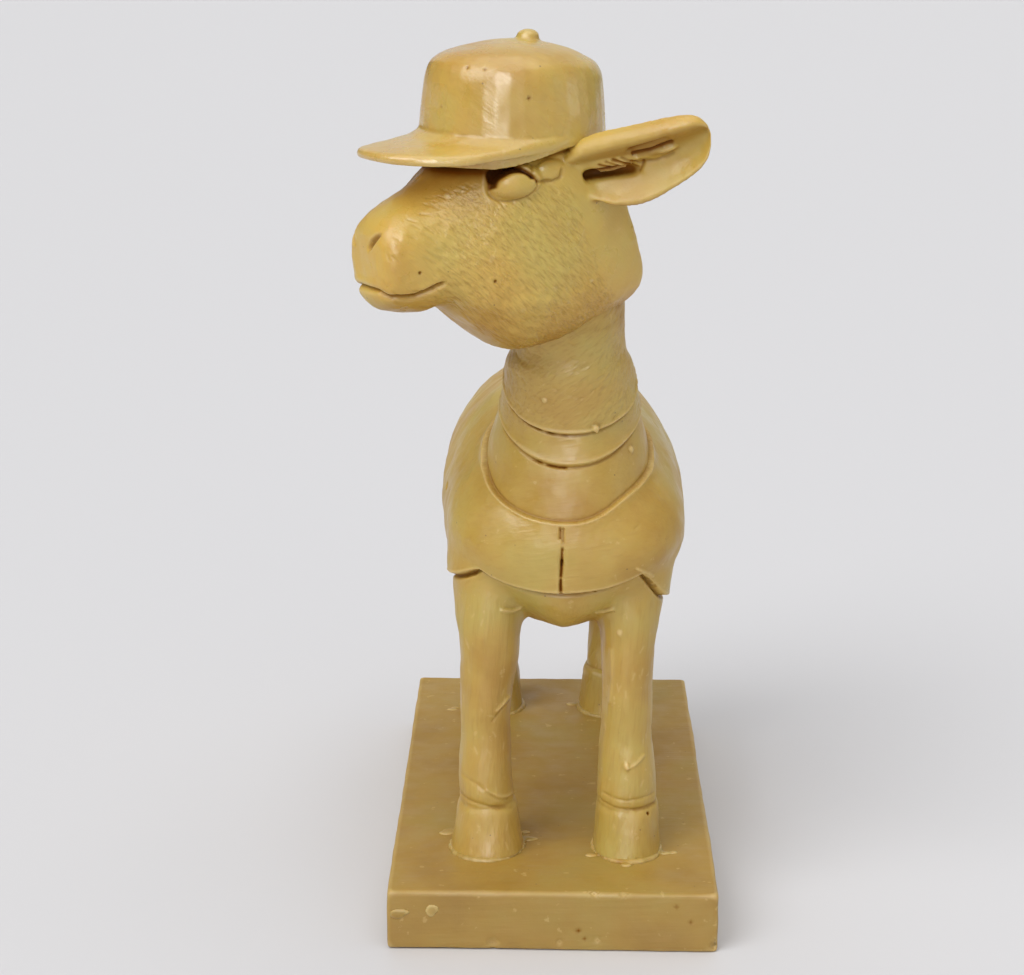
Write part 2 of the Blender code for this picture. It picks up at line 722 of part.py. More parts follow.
def plinth():
    model = bmesh.new()
    bmesh.ops.create_cube(model, size=1.0)
    size = Matrix.Diagonal((PLINTH_WIDTH, PLINTH_LENGTH, PLINTH_HEIGHT, 1.0))
    place = Matrix.Translation((0.0, 0.0, PLINTH_HEIGHT / 2))
    bmesh.ops.transform(model, matrix=place @ size, verts=model.verts)
    slab = mesh_object("plinth", model)
    edge = slab.modifiers.new("edge", "BEVEL")
    edge.width = PLINTH_EDGE
    edge.segments = 2
    return apply_modifiers(slab)


def wax(name, colour):
    material = bpy.data.materials.new(name)
    material.use_nodes = True
    shader = material.node_tree.nodes["Principled BSDF"]
    shader.inputs["Base Color"].default_value = colour
    shader.inputs["Roughness"].default_value = WAX_ROUGHNESS
    shader.inputs["Metallic"].default_value = 0.0
    return material


def finish(item, material, collection):
    """Scales a mesh to metres, gives it its material and files it in the figurine's collection."""
    item.data.transform(Matrix.Scale(MM, 4))
    item.data.materials.clear()
    item.data.materials.append(material)
    item.data.shade_smooth()
    bpy.context.scene.collection.objects.unlink(item)
    collection.objects.link(item)


def main():
    for old in list(bpy.data.objects):
        bpy.data.objects.remove(old)
    collection = bpy.data.collections.new("goat_figurine")
    bpy.context.scene.collection.children.link(collection)
    finish(goat(), wax("figure_wax", WAX_COLOUR), collection)
    finish(plinth(), wax("plinth_wax", PLINTH_COLOUR), collection)


main()
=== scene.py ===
"""Looks of the goat figurine: wax with its tool marks, on a pale floor in soft light.

The forms repeat the part's own named values and functions, with a finer skin, and the relief that is
too fine for the solids is carved on top.
"""

import math

import bmesh
import bpy
import numpy as np
from mathutils import Matrix, Vector, kdtree


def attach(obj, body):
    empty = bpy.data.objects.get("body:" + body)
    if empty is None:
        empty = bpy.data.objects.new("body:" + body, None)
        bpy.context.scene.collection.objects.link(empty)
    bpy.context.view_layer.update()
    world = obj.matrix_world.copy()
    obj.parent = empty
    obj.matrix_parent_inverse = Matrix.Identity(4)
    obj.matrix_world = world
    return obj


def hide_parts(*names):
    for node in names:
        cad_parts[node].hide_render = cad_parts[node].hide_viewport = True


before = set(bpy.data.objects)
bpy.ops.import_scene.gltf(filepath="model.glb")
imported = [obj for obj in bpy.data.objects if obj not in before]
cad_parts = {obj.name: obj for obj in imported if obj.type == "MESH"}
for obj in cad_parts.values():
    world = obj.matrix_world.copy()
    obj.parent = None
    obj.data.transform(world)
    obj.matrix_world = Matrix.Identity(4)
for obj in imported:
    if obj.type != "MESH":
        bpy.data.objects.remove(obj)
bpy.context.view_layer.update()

MM = 0.001

# Plinth, a plain slab
PLINTH_WIDTH = 66.0
PLINTH_LENGTH = 123.0
PLINTH_HEIGHT = 12.6
PLINTH_EDGE = 0.7
SEAT_GAP = 0.3

# Where the goat stands: the body's middle line drifts a little across the plinth
FRONT_MIDDLE_X = 2.1
REAR_MIDDLE_X = 0.4
FRONT_LEG_Y = -38.5
REAR_LEG_Y = 42.5

# Head: it looks HEAD_TURN degrees round from the chest, measured from its own frame at the cap's base
HEAD_TURN = 60.0
HEAD_PLACE = Vector((-8.8, -47.0, 158.0))

# Trunk, front to rear: y, height of the widest line, half width, rise to the back, drop to the belly
TRUNK = (
    (-48.8, 77.0, 6.5, 5.0, 6.5),
    (-47.0, 77.0, 13.0, 8.5, 11.5),
    (-43.0, 78.0, 19.0, 13.0, 16.0),
    (-35.0, 79.0, 22.8, 18.0, 20.0),
    (-22.0, 79.5, 24.0, 23.0, 23.0),
    (-4.0, 80.0, 24.6, 26.0, 25.0),
    (16.0, 80.0, 24.3, 23.5, 25.0),
    (33.0, 80.5, 22.5, 21.0, 21.0),
    (46.0, 81.0, 18.5, 17.5, 16.0),
    (54.0, 82.0, 12.0, 14.0, 11.0),
    (57.5, 83.0, 5.5, 7.0, 6.0),
)

SHOULDER_SQUARENESS = 1.77

# Neck, bottom to top: height, x, y, half width, half depth
NECK = (
    (76.0, 1.4, -25.0, 19.5, 23.8),
    (85.0, 1.8, -25.0, 18.6, 23.2),
    (94.0, 2.2, -26.0, 16.8, 20.0),
    (101.5, 2.4, -28.6, 14.8, 15.8),
    (108.0, 2.6, -31.6, 13.2, 13.8),
    (117.0, 2.2, -35.0, 11.4, 12.2),
    (128.0, 2.0, -39.0, 10.9, 11.8),
    (140.0, 2.0, -41.5, 11.0, 11.5),
)

# Front legs as carved, bottom to top: height, x, y, half width, half depth
RIGHT_FRONT_LEG = (
    (20.0, -13.6, -38.2, 5.5, 6.0),
    (25.0, -13.8, -38.6, 5.7, 6.3),
    (31.0, -14.0, -38.4, 5.5, 6.0),
    (38.0, -14.1, -38.0, 5.2, 5.7),
    (45.0, -13.9, -38.0, 5.3, 6.2),
    (54.0, -13.2, -37.0, 6.0, 7.4),
    (64.0, -13.4, -35.5, 7.1, 9.0),
    (76.0, -12.6, -32.0, 8.3, 11.0),
    (86.0, -11.0, -30.0, 7.0, 10.0),
)
LEFT_FRONT_LEG = (
    (20.0, 15.3, -38.2, 6.0, 6.3),
    (25.0, 15.1, -38.6, 6.3, 6.6),
    (31.0, 15.0, -38.4, 6.0, 6.2),
    (38.0, 14.9, -38.0, 5.4, 5.8),
    (45.0, 14.9, -38.0, 5.2, 6.1),
    (54.0, 14.8, -37.0, 5.4, 7.2),
    (64.0, 15.1, -35.5, 6.6, 8.8),
    (76.0, 14.8, -32.0, 8.4, 11.0),
    (86.0, 13.5, -30.0, 7.0, 10.0),
)

# Right hind leg in the same terms. The left one mirrors it about the middle of the rear.
HIND_LEG_MIDDLE_X = -0.4
HIND_LEG = (
    (20.0, -14.5, 43.0, 5.2, 5.8),
    (24.5, -14.7, 44.0, 5.9, 6.1),
    (31.0, -14.8, 46.5, 5.4, 5.4),
    (40.0, -14.8, 49.0, 5.4, 6.2),
    (47.0, -14.5, 49.5, 5.4, 7.2),
    (57.0, -14.0, 44.0, 6.8, 10.0),
    (69.0, -13.2, 38.5, 8.6, 14.0),
    (80.0, -11.8, 36.5, 9.0, 15.0),
    (88.0, -10.0, 37.0, 6.5, 11.5),
)

# Hooves: their height, and for each leg the half width and half depth of the sole and of the top
HOOF_HEIGHT = 10.4
HOOVES = {
    "right_front": ((7.5, 8.1), (5.8, 6.5)),
    "left_front": ((7.0, 8.0), (6.25, 6.7)),
    "right_hind": ((7.2, 8.0), (6.1, 6.6)),
    "left_hind": ((7.2, 8.0), (6.1, 6.6)),
}

# Head, nose to nape: s forward, height of the widest line, half width, rise, drop
HEAD = (
    (31.0, -18.0, 4.6, 4.0, 5.8),
    (30.4, -18.0, 6.8, 5.8, 7.7),
    (28.6, -18.0, 8.3, 7.7, 9.9),
    (25.8, -17.8, 8.9, 9.4, 10.9),
    (21.0, -17.0, 9.4, 11.2, 12.1),
    (16.5, -15.5, 10.8, 13.4, 13.2),
    (10.0, -13.0, 13.4, 15.5, 20.5),
    (3.0, -12.5, 14.8, 18.0, 25.3),
    (-4.0, -12.5, 15.2, 19.0, 24.6),
    (-10.0, -12.5, 15.0, 18.5, 21.8),
    (-15.2, -12.5, 14.0, 17.0, 18.4),
    (-18.0, -12.5, 12.6, 15.0, 16.4),
    (-19.2, -12.5, 10.5, 12.5, 14.0),
    (-19.8, -12.5, 6.0, 7.0, 9.0),
)
HEAD_SQUARENESS = 2.3
TEMPLE_SQUARENESS = 0.6
NAPE_SLOPE = 0.38

# Cap crown: height above its base, and its share of the base radius in front and behind
CROWN_LENGTH = 18.2
CROWN_BREADTH = 15.9
CROWN_HEIGHT = 19.6
CROWN = (
    (-2.0, 1.0, 0.95),
    (0.0, 1.0, 0.965),
    (5.0, 0.98, 0.965),
    (10.0, 0.95, 0.95),
    (13.0, 0.93, 0.93),
    (14.8, 0.91, 0.89),
    (16.0, 0.885, 0.835),
    (17.0, 0.84, 0.735),
    (18.2, 0.73, 0.605),
    (19.2, 0.50, 0.42),
    (19.9, 0.22, 0.22),
    (20.1, 0.05, 0.05),
)
# The crown's lower edge climbs towards the back of the head: its slope, where it starts, and its limit
RIM_CLIMB = 0.27
RIM_START = 10.0
RIM_MOST = 3.8
BUTTON_RADIUS = 2.1
BUTTON_HEIGHT = 1.4
BUTTON_BACK = -3.0

# Cap peak: how far it reaches from the cap's middle, its half breadth, droops and thickness. Its sides
# arch down less towards the back, by PEAK_ARCH_SHARE at the cap's middle and for each mm forward of it.
# It runs on round the crown as a rim that sinks in from PEAK_TURN to PEAK_END degrees, and a fillet
# joins its top to the crown.
PEAK_REACH = 31.0
PEAK_BREADTH = 17.2
PEAK_SQUARENESS = 2.2
PEAK_LIFT = 2.25
PEAK_SLOPE = 0.15
PEAK_ARCH = 2.3
PEAK_ARCH_SHARE = (0.10, 0.045)
PEAK_THICKNESS = 1.8
PEAK_TURN = 60.0
PEAK_END = 125.0
PEAK_SUNK = 0.90
PEAK_FILLET = 2.2

# Ear: root in the head, length, sweep back and rise in degrees, depth of its cup, its rolled upper rim
EAR_ROOT = (-3.0, 11.5, -2.7)
EAR_LENGTH = 28.8
EAR_SWEEP = 50.0
EAR_RISE = 19.0
EAR_CUP = 3.2
EAR_ROLL = 2.0
EAR_WALL = 2.8

# Ear outline, root to tip: share of the length, upper edge and lower edge about the line to the tip
EAR = (
    (0.0, 1.2, -2.4),
    (0.10, 2.8, -6.4),
    (0.22, 3.9, -8.9),
    (0.36, 4.0, -10.3),
    (0.50, 3.7, -10.7),
    (0.65, 3.2, -10.0),
    (0.80, 2.8, -8.8),
    (0.91, 2.2, -7.2),
    (0.97, 1.1, -5.0),
    (1.0, -0.6, -2.8),
)

# Folds inside the ear: share of the length, height across, lift out of the cup, and radii
EAR_FLAP = (0.30, -1.0, -1.0, (6.6, 2.3, 1.6))
EAR_RIDGE = (0.62, -2.0, -1.5, (4.8, 0.9, 1.2))

# Eye: place on the left side of the head (forward, out, up) and radii
EYE_PLACE = (6.8, 12.2, -3.8)
EYE_RADII = (5.2, 3.3, 3.3)
BROW_PLACE = (-0.6, 13.2, -2.8)
BROW_RADII = (3.4, 1.5, 2.2)

# Nostril and mouth: middle of the slit, its direction and half length, and the mouth's height and back end
NOSTRIL_PLACE = (30.6, 4.6, -15.3)
NOSTRIL_LINE = (-0.55, 0.45, 0.70)
NOSTRIL_HALF = 2.1
MOUTH_LOW = -24.9
MOUTH_BACK = 18.5

# Garment: how far the layers stand proud, and the planes that end them. The neckline is lifted a little at
# its left: x, half width and height of that kink.
JACKET_PROUD = 1.0
BAND_PROUD = 0.45
NECKLINE = (-48.0, 85.1, 0.48)
NECKLINE_KINK = (13.5, 5.0, 1.4)
BAND_LOWER = (-45.9, 95.7, 0.66)
BAND_UPPER = (-45.2, 101.7, 0.80)
HEM_MIDDLE = 71.0
HEM_MIDDLE_X = 1.0
HEM_RISE = 3.5
HEM_PEAK_X = 15.6
HEM_FALL_RIGHT = 0.55
HEM_FALL_LEFT = 1.4
FLANK_HEM = 65.0
REAR_EDGE_Y = 46.0

SOFT_VOXEL = 1.0

# Skin sizes of the shown pieces and the triangles that each keeps
HEAD_VOXEL = 0.23
CAP_VOXEL = 0.33
BODY_VOXEL = 0.25
PLINTH_VOXEL = 0.42
BEAD_VOXEL = 0.25
PIECE_TRIANGLES = 190000

# Cracks and ridges on the body: depth (below 0 stands up), width, darkness, and points along them
CRACKS = (
    (0.5, 0.17, 0.8, ((0.75, -48.8, 84.4), (0.75, -48.8, 82.4))),
    (0.4, 0.15, 0.4, ((1.35, -48.8, 84.3), (1.35, -48.8, 81.6))),
    (0.6, 0.20, 1.0, ((1.25, -49.0, 80.4), (1.1, -49.3, 76.8))),
    (0.8, 0.28, 1.2, ((1.15, -49.3, 77.8), (1.0, -49.6, 74.6))),
    (0.8, 0.24, 1.2, ((1.0, -49.6, 74.0), (1.0, -49.6, 71.2))),
    (0.3, 0.18, 0.3, ((-20.3, -40.2, 70.9), (-17.8, -42.8, 71.9), (-15.6, -44.2, 73.0))),
    (0.3, 0.18, 0.4, ((17.4, -46.0, 73.4), (18.4, -44.0, 72.0), (19.6, -41.8, 70.2))),
    (-0.35, 0.3, -0.5, ((16.0, -47.0, 75.6), (18.0, -45.0, 74.4), (19.2, -43.0, 73.0))),
    (-0.45, 0.30, -0.5, ((-10.6, -41.0, 65.6), (-8.5, -42.2, 65.0), (-7.0, -43.0, 65.4))),
    (-0.45, 0.30, -0.5, ((8.0, -43.4, 65.5), (9.7, -42.6, 65.3), (11.5, -42.0, 66.0))),
    (0.2, 0.24, 0.05, ((-9.0, -40.1, 45.2), (-10.6, -42.9, 44.2), (-12.4, -43.4, 42.0))),
    (-0.3, 0.35, -0.35, ((-9.2, -40.1, 46.2), (-10.4, -42.9, 45.2), (-11.6, -43.2, 44.2))),
    (0.2, 0.4, 0.0, ((-18.5, -41.0, 29.6), (-15.5, -43.5, 28.4), (-12.0, -44.4, 25.6), (-9.4, -43.0, 24.4))),
    (-0.3, 0.35, -0.35, ((-13.6, -44.0, 27.2), (-10.6, -43.4, 25.2), (-8.8, -42.0, 25.0))),
    (0.25, 0.35, 0.08, ((-19.2, -39.5, 25.0), (-16.0, -43.6, 24.4), (-12.0, -44.2, 23.4), (-8.5, -40.5, 22.4))),
    (0.25, 0.3, 0.08, ((9.2, -40.4, 24.4), (12.0, -44.0, 23.8), (17.0, -44.6, 23.3), (20.9, -40.8, 23.6))),
    (0.2, 0.25, 0.05, ((10.3, -41.0, 26.2), (14.7, -45.0, 25.4), (20.6, -41.2, 26.0))),
    (-0.25, 0.3, -0.3, ((14.7, -45.0, 32.0), (16.7, -45.0, 33.0), (18.3, -44.0, 34.5))),
    (-0.25, 0.35, -0.3, ((11.4, -44.0, 57.0), (11.7, -44.0, 51.0), (11.3, -44.0, 46.0))),
)

# Folds of the face and the lower jaw in the same terms, and how steeply the fur lies on the cheeks
# The darkness of the crease under the cap's peak, of the lines round the brow block, and of the ear's slit and the
# line under its ridge is painted shade.
HEAD_FOLDS = (
    (0.25, 1.3, 0.0, ((-20.0, -62.0, 130.5), (-9.0, -61.0, 126.5), (2.0, -57.0, 128.0))),
    (-0.25, 1.6, 0.0, ((-20.0, -62.0, 133.5), (-9.0, -61.0, 130.0), (2.0, -57.0, 131.5))),
    (0.15, 0.35, 0.9, ((-7.2, -62.0, 157.0), (-5.2, -61.0, 157.5), (-2.6, -60.0, 157.9), (1.6, -58.5, 158.9))),
    (0.3, 0.26, 0.45, ((-5.3, -61.0, 156.3), (-4.8, -61.0, 155.0), (-4.0, -61.0, 153.7))),
    (0.3, 0.26, 0.4, ((-4.0, -61.0, 153.7), (-1.6, -60.5, 153.6), (0.0, -60.0, 154.2), (0.2, -59.5, 155.6))),
    (0.45, 0.30, 0.9, ((13.2, -58.0, 158.4), (16.4, -58.5, 159.2), (20.2, -59.0, 160.8))),
    (-0.4, 0.50, -0.2, ((14.0, -57.5, 157.7), (17.4, -57.6, 158.3), (20.4, -58.3, 159.8))),
    (0.25, 0.30, 0.25, ((14.9, -57.0, 156.9), (17.6, -57.2, 157.2), (20.6, -58.0, 158.7))),
    (0.4, 0.27, 0.75, ((9.6, -57.4, 157.3), (11.2, -57.2, 156.8), (12.8, -57.0, 156.2))),
    (0.3, 0.24, 0.5, ((8.4, -57.6, 156.9), (10.9, -57.2, 156.0))),
    (0.35, 0.25, 0.75, ((7.0, -57.8, 156.3), (9.0, -57.4, 155.7))),
    (0.3, 0.22, 0.4, ((11.2, -57.4, 157.7), (13.0, -57.0, 156.9))),
    (0.3, 0.23, 0.5, ((13.2, -57.0, 157.0), (14.5, -57.0, 156.6))),
    (0.25, 0.22, 0.45, ((13.2, -56.8, 156.1), (14.3, -56.6, 155.8))),
    (0.35, 0.26, 0.5, ((15.3, -57.0, 156.9), (15.1, -56.8, 156.1), (14.6, -56.4, 155.2))),
    (-0.2, 0.24, -0.15, ((8.9, -57.5, 157.1), (11.8, -57.2, 156.0))),
    (-0.2, 0.24, -0.15, ((10.6, -57.5, 157.6), (13.0, -57.1, 156.5))),
)
# The eyeball lies this much further back and lower in the fine skin, in mm
EYE_BACK = 0.4
EYE_LOWER = 0.7
# Outline of the eye on the face in the head's own axes: middle, half length, heights and tilt in degrees
EYE_MIDDLE = (7.4, -5.3)
EYE_HALF = 4.2
EYE_ABOVE = 4.0
EYE_BELOW = 2.2
EYE_TILT = 12.4
# The ear's dark hollow starts at this share of the ear's length
HOLLOW_START = 0.13
# Nostril as cut in the fine skin: middle, direction, half length and half width in the head's own axes
SLOT_PLACE = (30.8, 3.2, -15.0)
SLOT_LINE = (-0.17, 0.71, 0.68)
SLOT_HALF = 2.2
SLOT_WIDTH = 0.62
FUR_STEEP = 34.0

# Pits and pale specks: place, radius, depth (below 0 stands up), darkness (below 0 is pale)
HEAD_SPOTS = (
    ((-25.3, -66.8, 137.7), 0.24, 0.3, 0.9),
    ((-11.8, -63.0, 135.5), 0.26, 0.35, 0.9),
    ((-20.6, -62.6, 151.2), 0.50, -0.15, -1.2),
    ((-17.9, -62.6, 152.0), 0.25, -0.1, -1.0),
    ((6.0, -55.0, 134.5), 0.31, -0.1, -1.0),
)
CAP_SPOTS = (
    ((-17.0, -60.0, 174.1), 0.2, 0.2, 0.6),
    ((-13.8, -61.1, 174.0), 0.2, 0.2, 0.6),
    ((-5.8, -62.0, 168.7), 0.26, 0.25, 0.8),
    ((-21.8, -58.5, 166.9), 0.2, 0.15, 0.5),
)
BODY_SPOTS = (
    ((14.6, -39.4, 97.7), 0.50, -0.5, -0.9),
    ((7.4, -44.6, 103.5), 0.50, -0.7, -0.6),
    ((-2.6, -45.5, 109.2), 0.37, -0.3, -0.9),
    ((7.6, -49.0, 71.3), 0.31, 0.5, 1.3),
    ((13.0, -43.8, 61.1), 0.56, -0.2, -1.0),
    ((14.9, -44.2, 32.9), 0.56, -0.4, -0.5),
    ((19.4, -43.6, 22.2), 0.37, 0.5, 1.2),
    ((-22.6, -19.9, 84.4), 0.62, 0.6, 0.1),
    ((-22.4, 10.8, 88.7), 0.50, 0.3, 0.1),
)
PLINTH_SPOTS = (
    ((24.4, -61.5, 9.7), 0.35, 0.2, 0.6),
    ((27.6, -61.5, 6.6), 0.3, 0.25, 0.7),
    ((5.2, -61.5, 4.6), 0.32, 0.2, 0.9),
    ((6.3, -61.5, 2.6), 0.32, 0.2, 0.9),
    ((8.0, -61.3, 12.4), 0.55, 0.3, -0.5),
    ((13.9, -61.3, 12.4), 0.5, 0.3, -0.5),
    ((-11.8, -61.4, 1.6), 0.9, 0.3, -0.35),
    ((1.3, -61.4, 2.0), 0.5, 0.2, -0.4),
    ((9.2, -61.4, 2.2), 0.5, 0.2, -0.5),
    ((32.4, -61.3, 1.4), 0.8, 0.6, -0.3),
)

# Chips of wax stuck on the plinth's front: middle, and half width, thickness and half height of each part
FLAKES = (
    ((-30.3, -61.5, 8.1), (2.0, 0.4, 0.75)),
    ((-30.9, -61.5, 7.5), (1.5, 0.4, 0.85)),
    ((-24.2, -61.5, 8.5), (1.1, 0.22, 1.4)),
    ((-23.7, -61.5, 8.9), (1.2, 0.22, 0.9)),
)

WAX_COLOURS = ((0.44, 0.245, 0.035, 1.0), (0.52, 0.332, 0.064, 1.0), (0.51, 0.375, 0.085, 1.0))
PLINTH_COLOURS = ((0.33, 0.185, 0.026, 1.0), (0.385, 0.228, 0.036, 1.0), (0.385, 0.25, 0.045, 1.0))
CLOUD_COLOUR = (0.47, 0.38, 0.085, 1.0)
# The crack colour also paints shade. The hollow colour paints the deepest shade, in the eye and ear hollows and
# under the cap's peak, and the darkest cracks and pits. The worn colour also paints a highlight along the clothes'
# rims.
CRACK_AND_SHADE_COLOUR = (0.20, 0.055, 0.002, 1.0)
DEEP_SHADE_AND_PIT_COLOUR = (0.045, 0.012, 0.002, 1.0)
STROKE_COLOUR = (0.34, 0.17, 0.018, 1.0)
WORN_AND_HIGHLIGHT_COLOUR = (0.70, 0.51, 0.20, 1.0)
SPECK_COLOUR = (0.15, 0.08, 0.03, 1.0)

# Studio: soft lights by azimuth (0 from the front, 90 from +X), height and spread in degrees, and strength.
# The panes show in the gloss alone.
ROOM_LIGHT = 0.13
FLOOR_COLOUR = (0.66, 0.655, 0.67, 1.0)
LIGHTS = (
    ("key", -46.0, 43.0, 40.0, 1.46),
    ("front", -5.0, 30.0, 70.0, 0.55),
    ("top", 0.0, 84.0, 60.0, 1.30),
    ("back", 170.0, 38.0, 80.0, 0.60),
    ("fill", 62.0, 25.0, 90.0, 0.46),
)
PANES = (
    ("window_low", -4.0, 5.0, 19.0, 0.50),
    ("window", -4.0, 21.0, 19.0, 0.55),
    ("window_high", -4.0, 37.0, 19.0, 0.50),
    ("strip_low", 82.0, 2.0, 7.0, 0.04),
    ("strip", 82.0, 9.0, 7.0, 0.04),
)
CAMERA_PLACE = Vector((-0.00243649, -0.47922772, 0.21216014))
CAMERA_ANGLES = (0.83141, 15.54060, 0.30013)
CAMERA_LENS = 80.86


def smooth_rows(rows, steps):
    """Rows of numbers joined by a Catmull-Rom curve, with steps rows for each span."""
    rows = np.array(rows, float)
    padded = np.vstack((2 * rows[0] - rows[1], rows, 2 * rows[-1] - rows[-2]))
    out = []
    for i in range(len(rows) - 1):
        before, start, end, after = padded[i : i + 4]
        for t in np.linspace(0.0, 1.0, steps, endpoint=False):
            out.append(
                0.5
                * (
                    2 * start
                    + (end - before) * t
                    + (2 * before - 5 * start + 4 * end - after) * t**2
                    + (3 * start - before - 3 * end + after) * t**3
                )
            )
    out.append(rows[-1])
    return np.array(out)


def step(value):
    """0 to 1 as value goes from 0 to 1, with soft ends."""
    value = np.clip(value, 0.0, 1.0)
    return value * value * (3.0 - 2.0 * value)


def bump(distance, width):
    """1 at distance 0, falling to nothing over about twice the width."""
    return np.exp(-((distance / width) ** 2))


def oval(half_width, rise, drop, upper=2.1, lower=2.1, count=40):
    """A closed outline: across and up, with its own rise, drop and squareness above and below."""
    angle = np.linspace(0.0, 2.0 * math.pi, count, endpoint=False)
    cosine, sine = np.cos(angle), np.sin(angle)
    power = np.where(sine > 0, upper, lower)
    height = np.where(sine > 0, rise, drop)
    across = half_width * np.sign(cosine) * np.abs(cosine) ** (2.0 / power)
    up = height * np.sign(sine) * np.abs(sine) ** (2.0 / power)
    return across, up


def loft(name, rings):
    """A closed skin over rings of points, each end closed by a fan about its middle."""
    rings = np.array(rings, float)
    count, around = rings.shape[:2]
    model = bmesh.new()
    verts = [[model.verts.new(point) for point in ring] for ring in rings]
    for i in range(count - 1):
        for j in range(around):
            k = (j + 1) % around
            model.faces.new((verts[i][j], verts[i][k], verts[i + 1][k], verts[i + 1][j]))
    for row, ring in ((verts[0], rings[0]), (verts[-1], rings[-1])):
        middle = model.verts.new(ring.mean(axis=0))
        for j in range(around):
            model.faces.new((row[j], row[(j + 1) % around], middle))
    bmesh.ops.recalc_face_normals(model, faces=model.faces)
    return mesh_object(name, model)


def mesh_object(name, model):
    mesh = bpy.data.meshes.new(name)
    model.to_mesh(mesh)
    model.free()
    item = bpy.data.objects.new(name, mesh)
    bpy.context.scene.collection.objects.link(item)
    return item


def ball(name, centre, radii, turn=None):
    """An ellipsoid. turn is a matrix whose columns are the directions of its radii."""
    model = bmesh.new()
    bmesh.ops.create_uvsphere(model, u_segments=32, v_segments=20, radius=1.0)
    scale = Matrix.Diagonal((*radii, 1.0))
    turn = turn.to_4x4() if turn else Matrix.Identity(4)
    bmesh.ops.transform(model, matrix=Matrix.Translation(centre) @ turn @ scale, verts=model.verts)
    return mesh_object(name, model)


def apply_modifiers(item):
    """The object with its modifiers' result as its own mesh."""
    graph = bpy.context.evaluated_depsgraph_get()
    made = bpy.data.meshes.new_from_object(item.evaluated_get(graph))
    old = item.data
    item.modifiers.clear()
    item.data = made
    bpy.data.meshes.remove(old)
    return item


def fuse(name, items, voxel, smoothing):
    """Overlapping closed forms joined into one skin of voxel-sized faces, then smoothed."""
    model = bmesh.new()
    for item in items:
        model.from_mesh(item.data)
        mesh = item.data
        bpy.data.objects.remove(item)
        bpy.data.meshes.remove(mesh)
    joined = mesh_object(name, model)
    remesh = joined.modifiers.new("remesh", "REMESH")
    remesh.mode = "VOXEL"
    remesh.voxel_size = voxel
    if smoothing:
        soft = joined.modifiers.new("soft", "SMOOTH")
        soft.factor = 0.5
        soft.iterations = smoothing
    return apply_modifiers(joined)


def middle_x(y):
    """The body's middle line, which crosses the plinth at a slight angle."""
    share = (y - FRONT_LEG_Y) / (REAR_LEG_Y - FRONT_LEG_Y)
    return FRONT_MIDDLE_X + (REAR_MIDDLE_X - FRONT_MIDDLE_X) * share


def head_axes():
    """The head's own directions: forward, out to its left, and up."""
    turn = math.radians(HEAD_TURN)
    forward = Vector((-math.sin(turn), -math.cos(turn), 0.0))
    up = Vector((0.0, 0.0, 1.0))
    return forward, up.cross(forward), up


def head_point(forward, out, up):
    a, b, c = head_axes()
    return HEAD_PLACE + a * forward + b * out + c * up


def to_head(points):
    """World points as forward, out and up in the head's frame."""
    axes = np.array([tuple(axis) for axis in head_axes()])
    return (points - np.array(HEAD_PLACE)) @ axes.T


def trunk():
    rings = []
    for y, height, half, rise, drop in smooth_rows(TRUNK, 5):
        chest = float(step(np.array((-20.0 - y) / 20.0)))
        across, up = oval(half, rise, drop, upper=SHOULDER_SQUARENESS, lower=2.1 - 0.85 * chest)
        rings.append(np.column_stack((across + middle_x(y), np.full_like(across, y), up + height)))
    return loft("trunk", rings)


def neck():
    rings = []
    for height, x, y, half, depth in smooth_rows(NECK, 4):
        across, along = oval(half, depth, depth)
        rings.append(np.column_stack((across + x, along + y, np.full_like(across, height))))
    return loft("neck", rings)


def leg_rows():
    """The four legs' tables, by name."""
    mirrored = [(z, 2 * HIND_LEG_MIDDLE_X - x, y, half, depth) for z, x, y, half, depth in HIND_LEG]
    return {
        "right_front": RIGHT_FRONT_LEG,
        "left_front": LEFT_FRONT_LEG,
        "right_hind": HIND_LEG,
        "left_hind": mirrored,
    }


def leg(name, rows):
    """One leg above its hoof."""
    rings = []
    for height, x, y, half, depth in smooth_rows(rows, 4):
        across, along = oval(half, depth, depth)
        rings.append(np.column_stack((across + x, along + y, np.full_like(across, height))))
    return loft(name, rings)


def hoof(name):
    """A leg's hoof, like a cut cone, its toe forward of the leg."""
    foot = leg_rows()[name][0]
    sole_size, top_size = HOOVES[name]
    x = foot[1]
    sole = PLINTH_HEIGHT + SEAT_GAP
    rings = []
    for share, lift in ((0.0, 0.0), (0.35, 0.35), (0.8, 0.85), (1.0, 0.97), (0.97, 1.0)):
        half = sole_size[0] + (top_size[0] - sole_size[0]) * share
        depth = sole_size[1] + (top_size[1] - sole_size[1]) * share
        if lift == 1.0:
            half, depth = half * 0.86, depth * 0.86
        across, along = oval(half, depth, depth, upper=2.3, lower=2.3)
        height = np.full_like(across, sole + HOOF_HEIGHT * lift)
        rings.append(np.column_stack((across + x, along + foot[2] - 0.6 + share * 0.8, height)))
    return loft(name + "_hoof", rings)


def skull():
    rings = []
    for s, height, half, rise, drop in smooth_rows(HEAD, 5):
        jaw = float(step(np.array((20.0 - s) / 16.0)))
        lean = NAPE_SLOPE * float(step(np.array(-s / 20.0)))
        temple = TEMPLE_SQUARENESS * float(step(np.array((3.0 - s) / 8.0)))
        upper, lower = HEAD_SQUARENESS + temple, HEAD_SQUARENESS + 0.4 * jaw
        across, up = oval(half, rise, drop, upper=upper, lower=lower)
        rings.append([tuple(head_point(s + lean * u, a, height + u)) for a, u in zip(across, up)])
    return loft("skull", rings)


def rim_climb(s, lift):
    """How far the crown's lower edge is raised there. The crown above it closes up to take the change."""
    climb = min(RIM_MOST, max(0.0, RIM_CLIMB * (RIM_START - s)))
    return climb * max(0.0, 1.0 - (lift + 2.0) / 7.0)


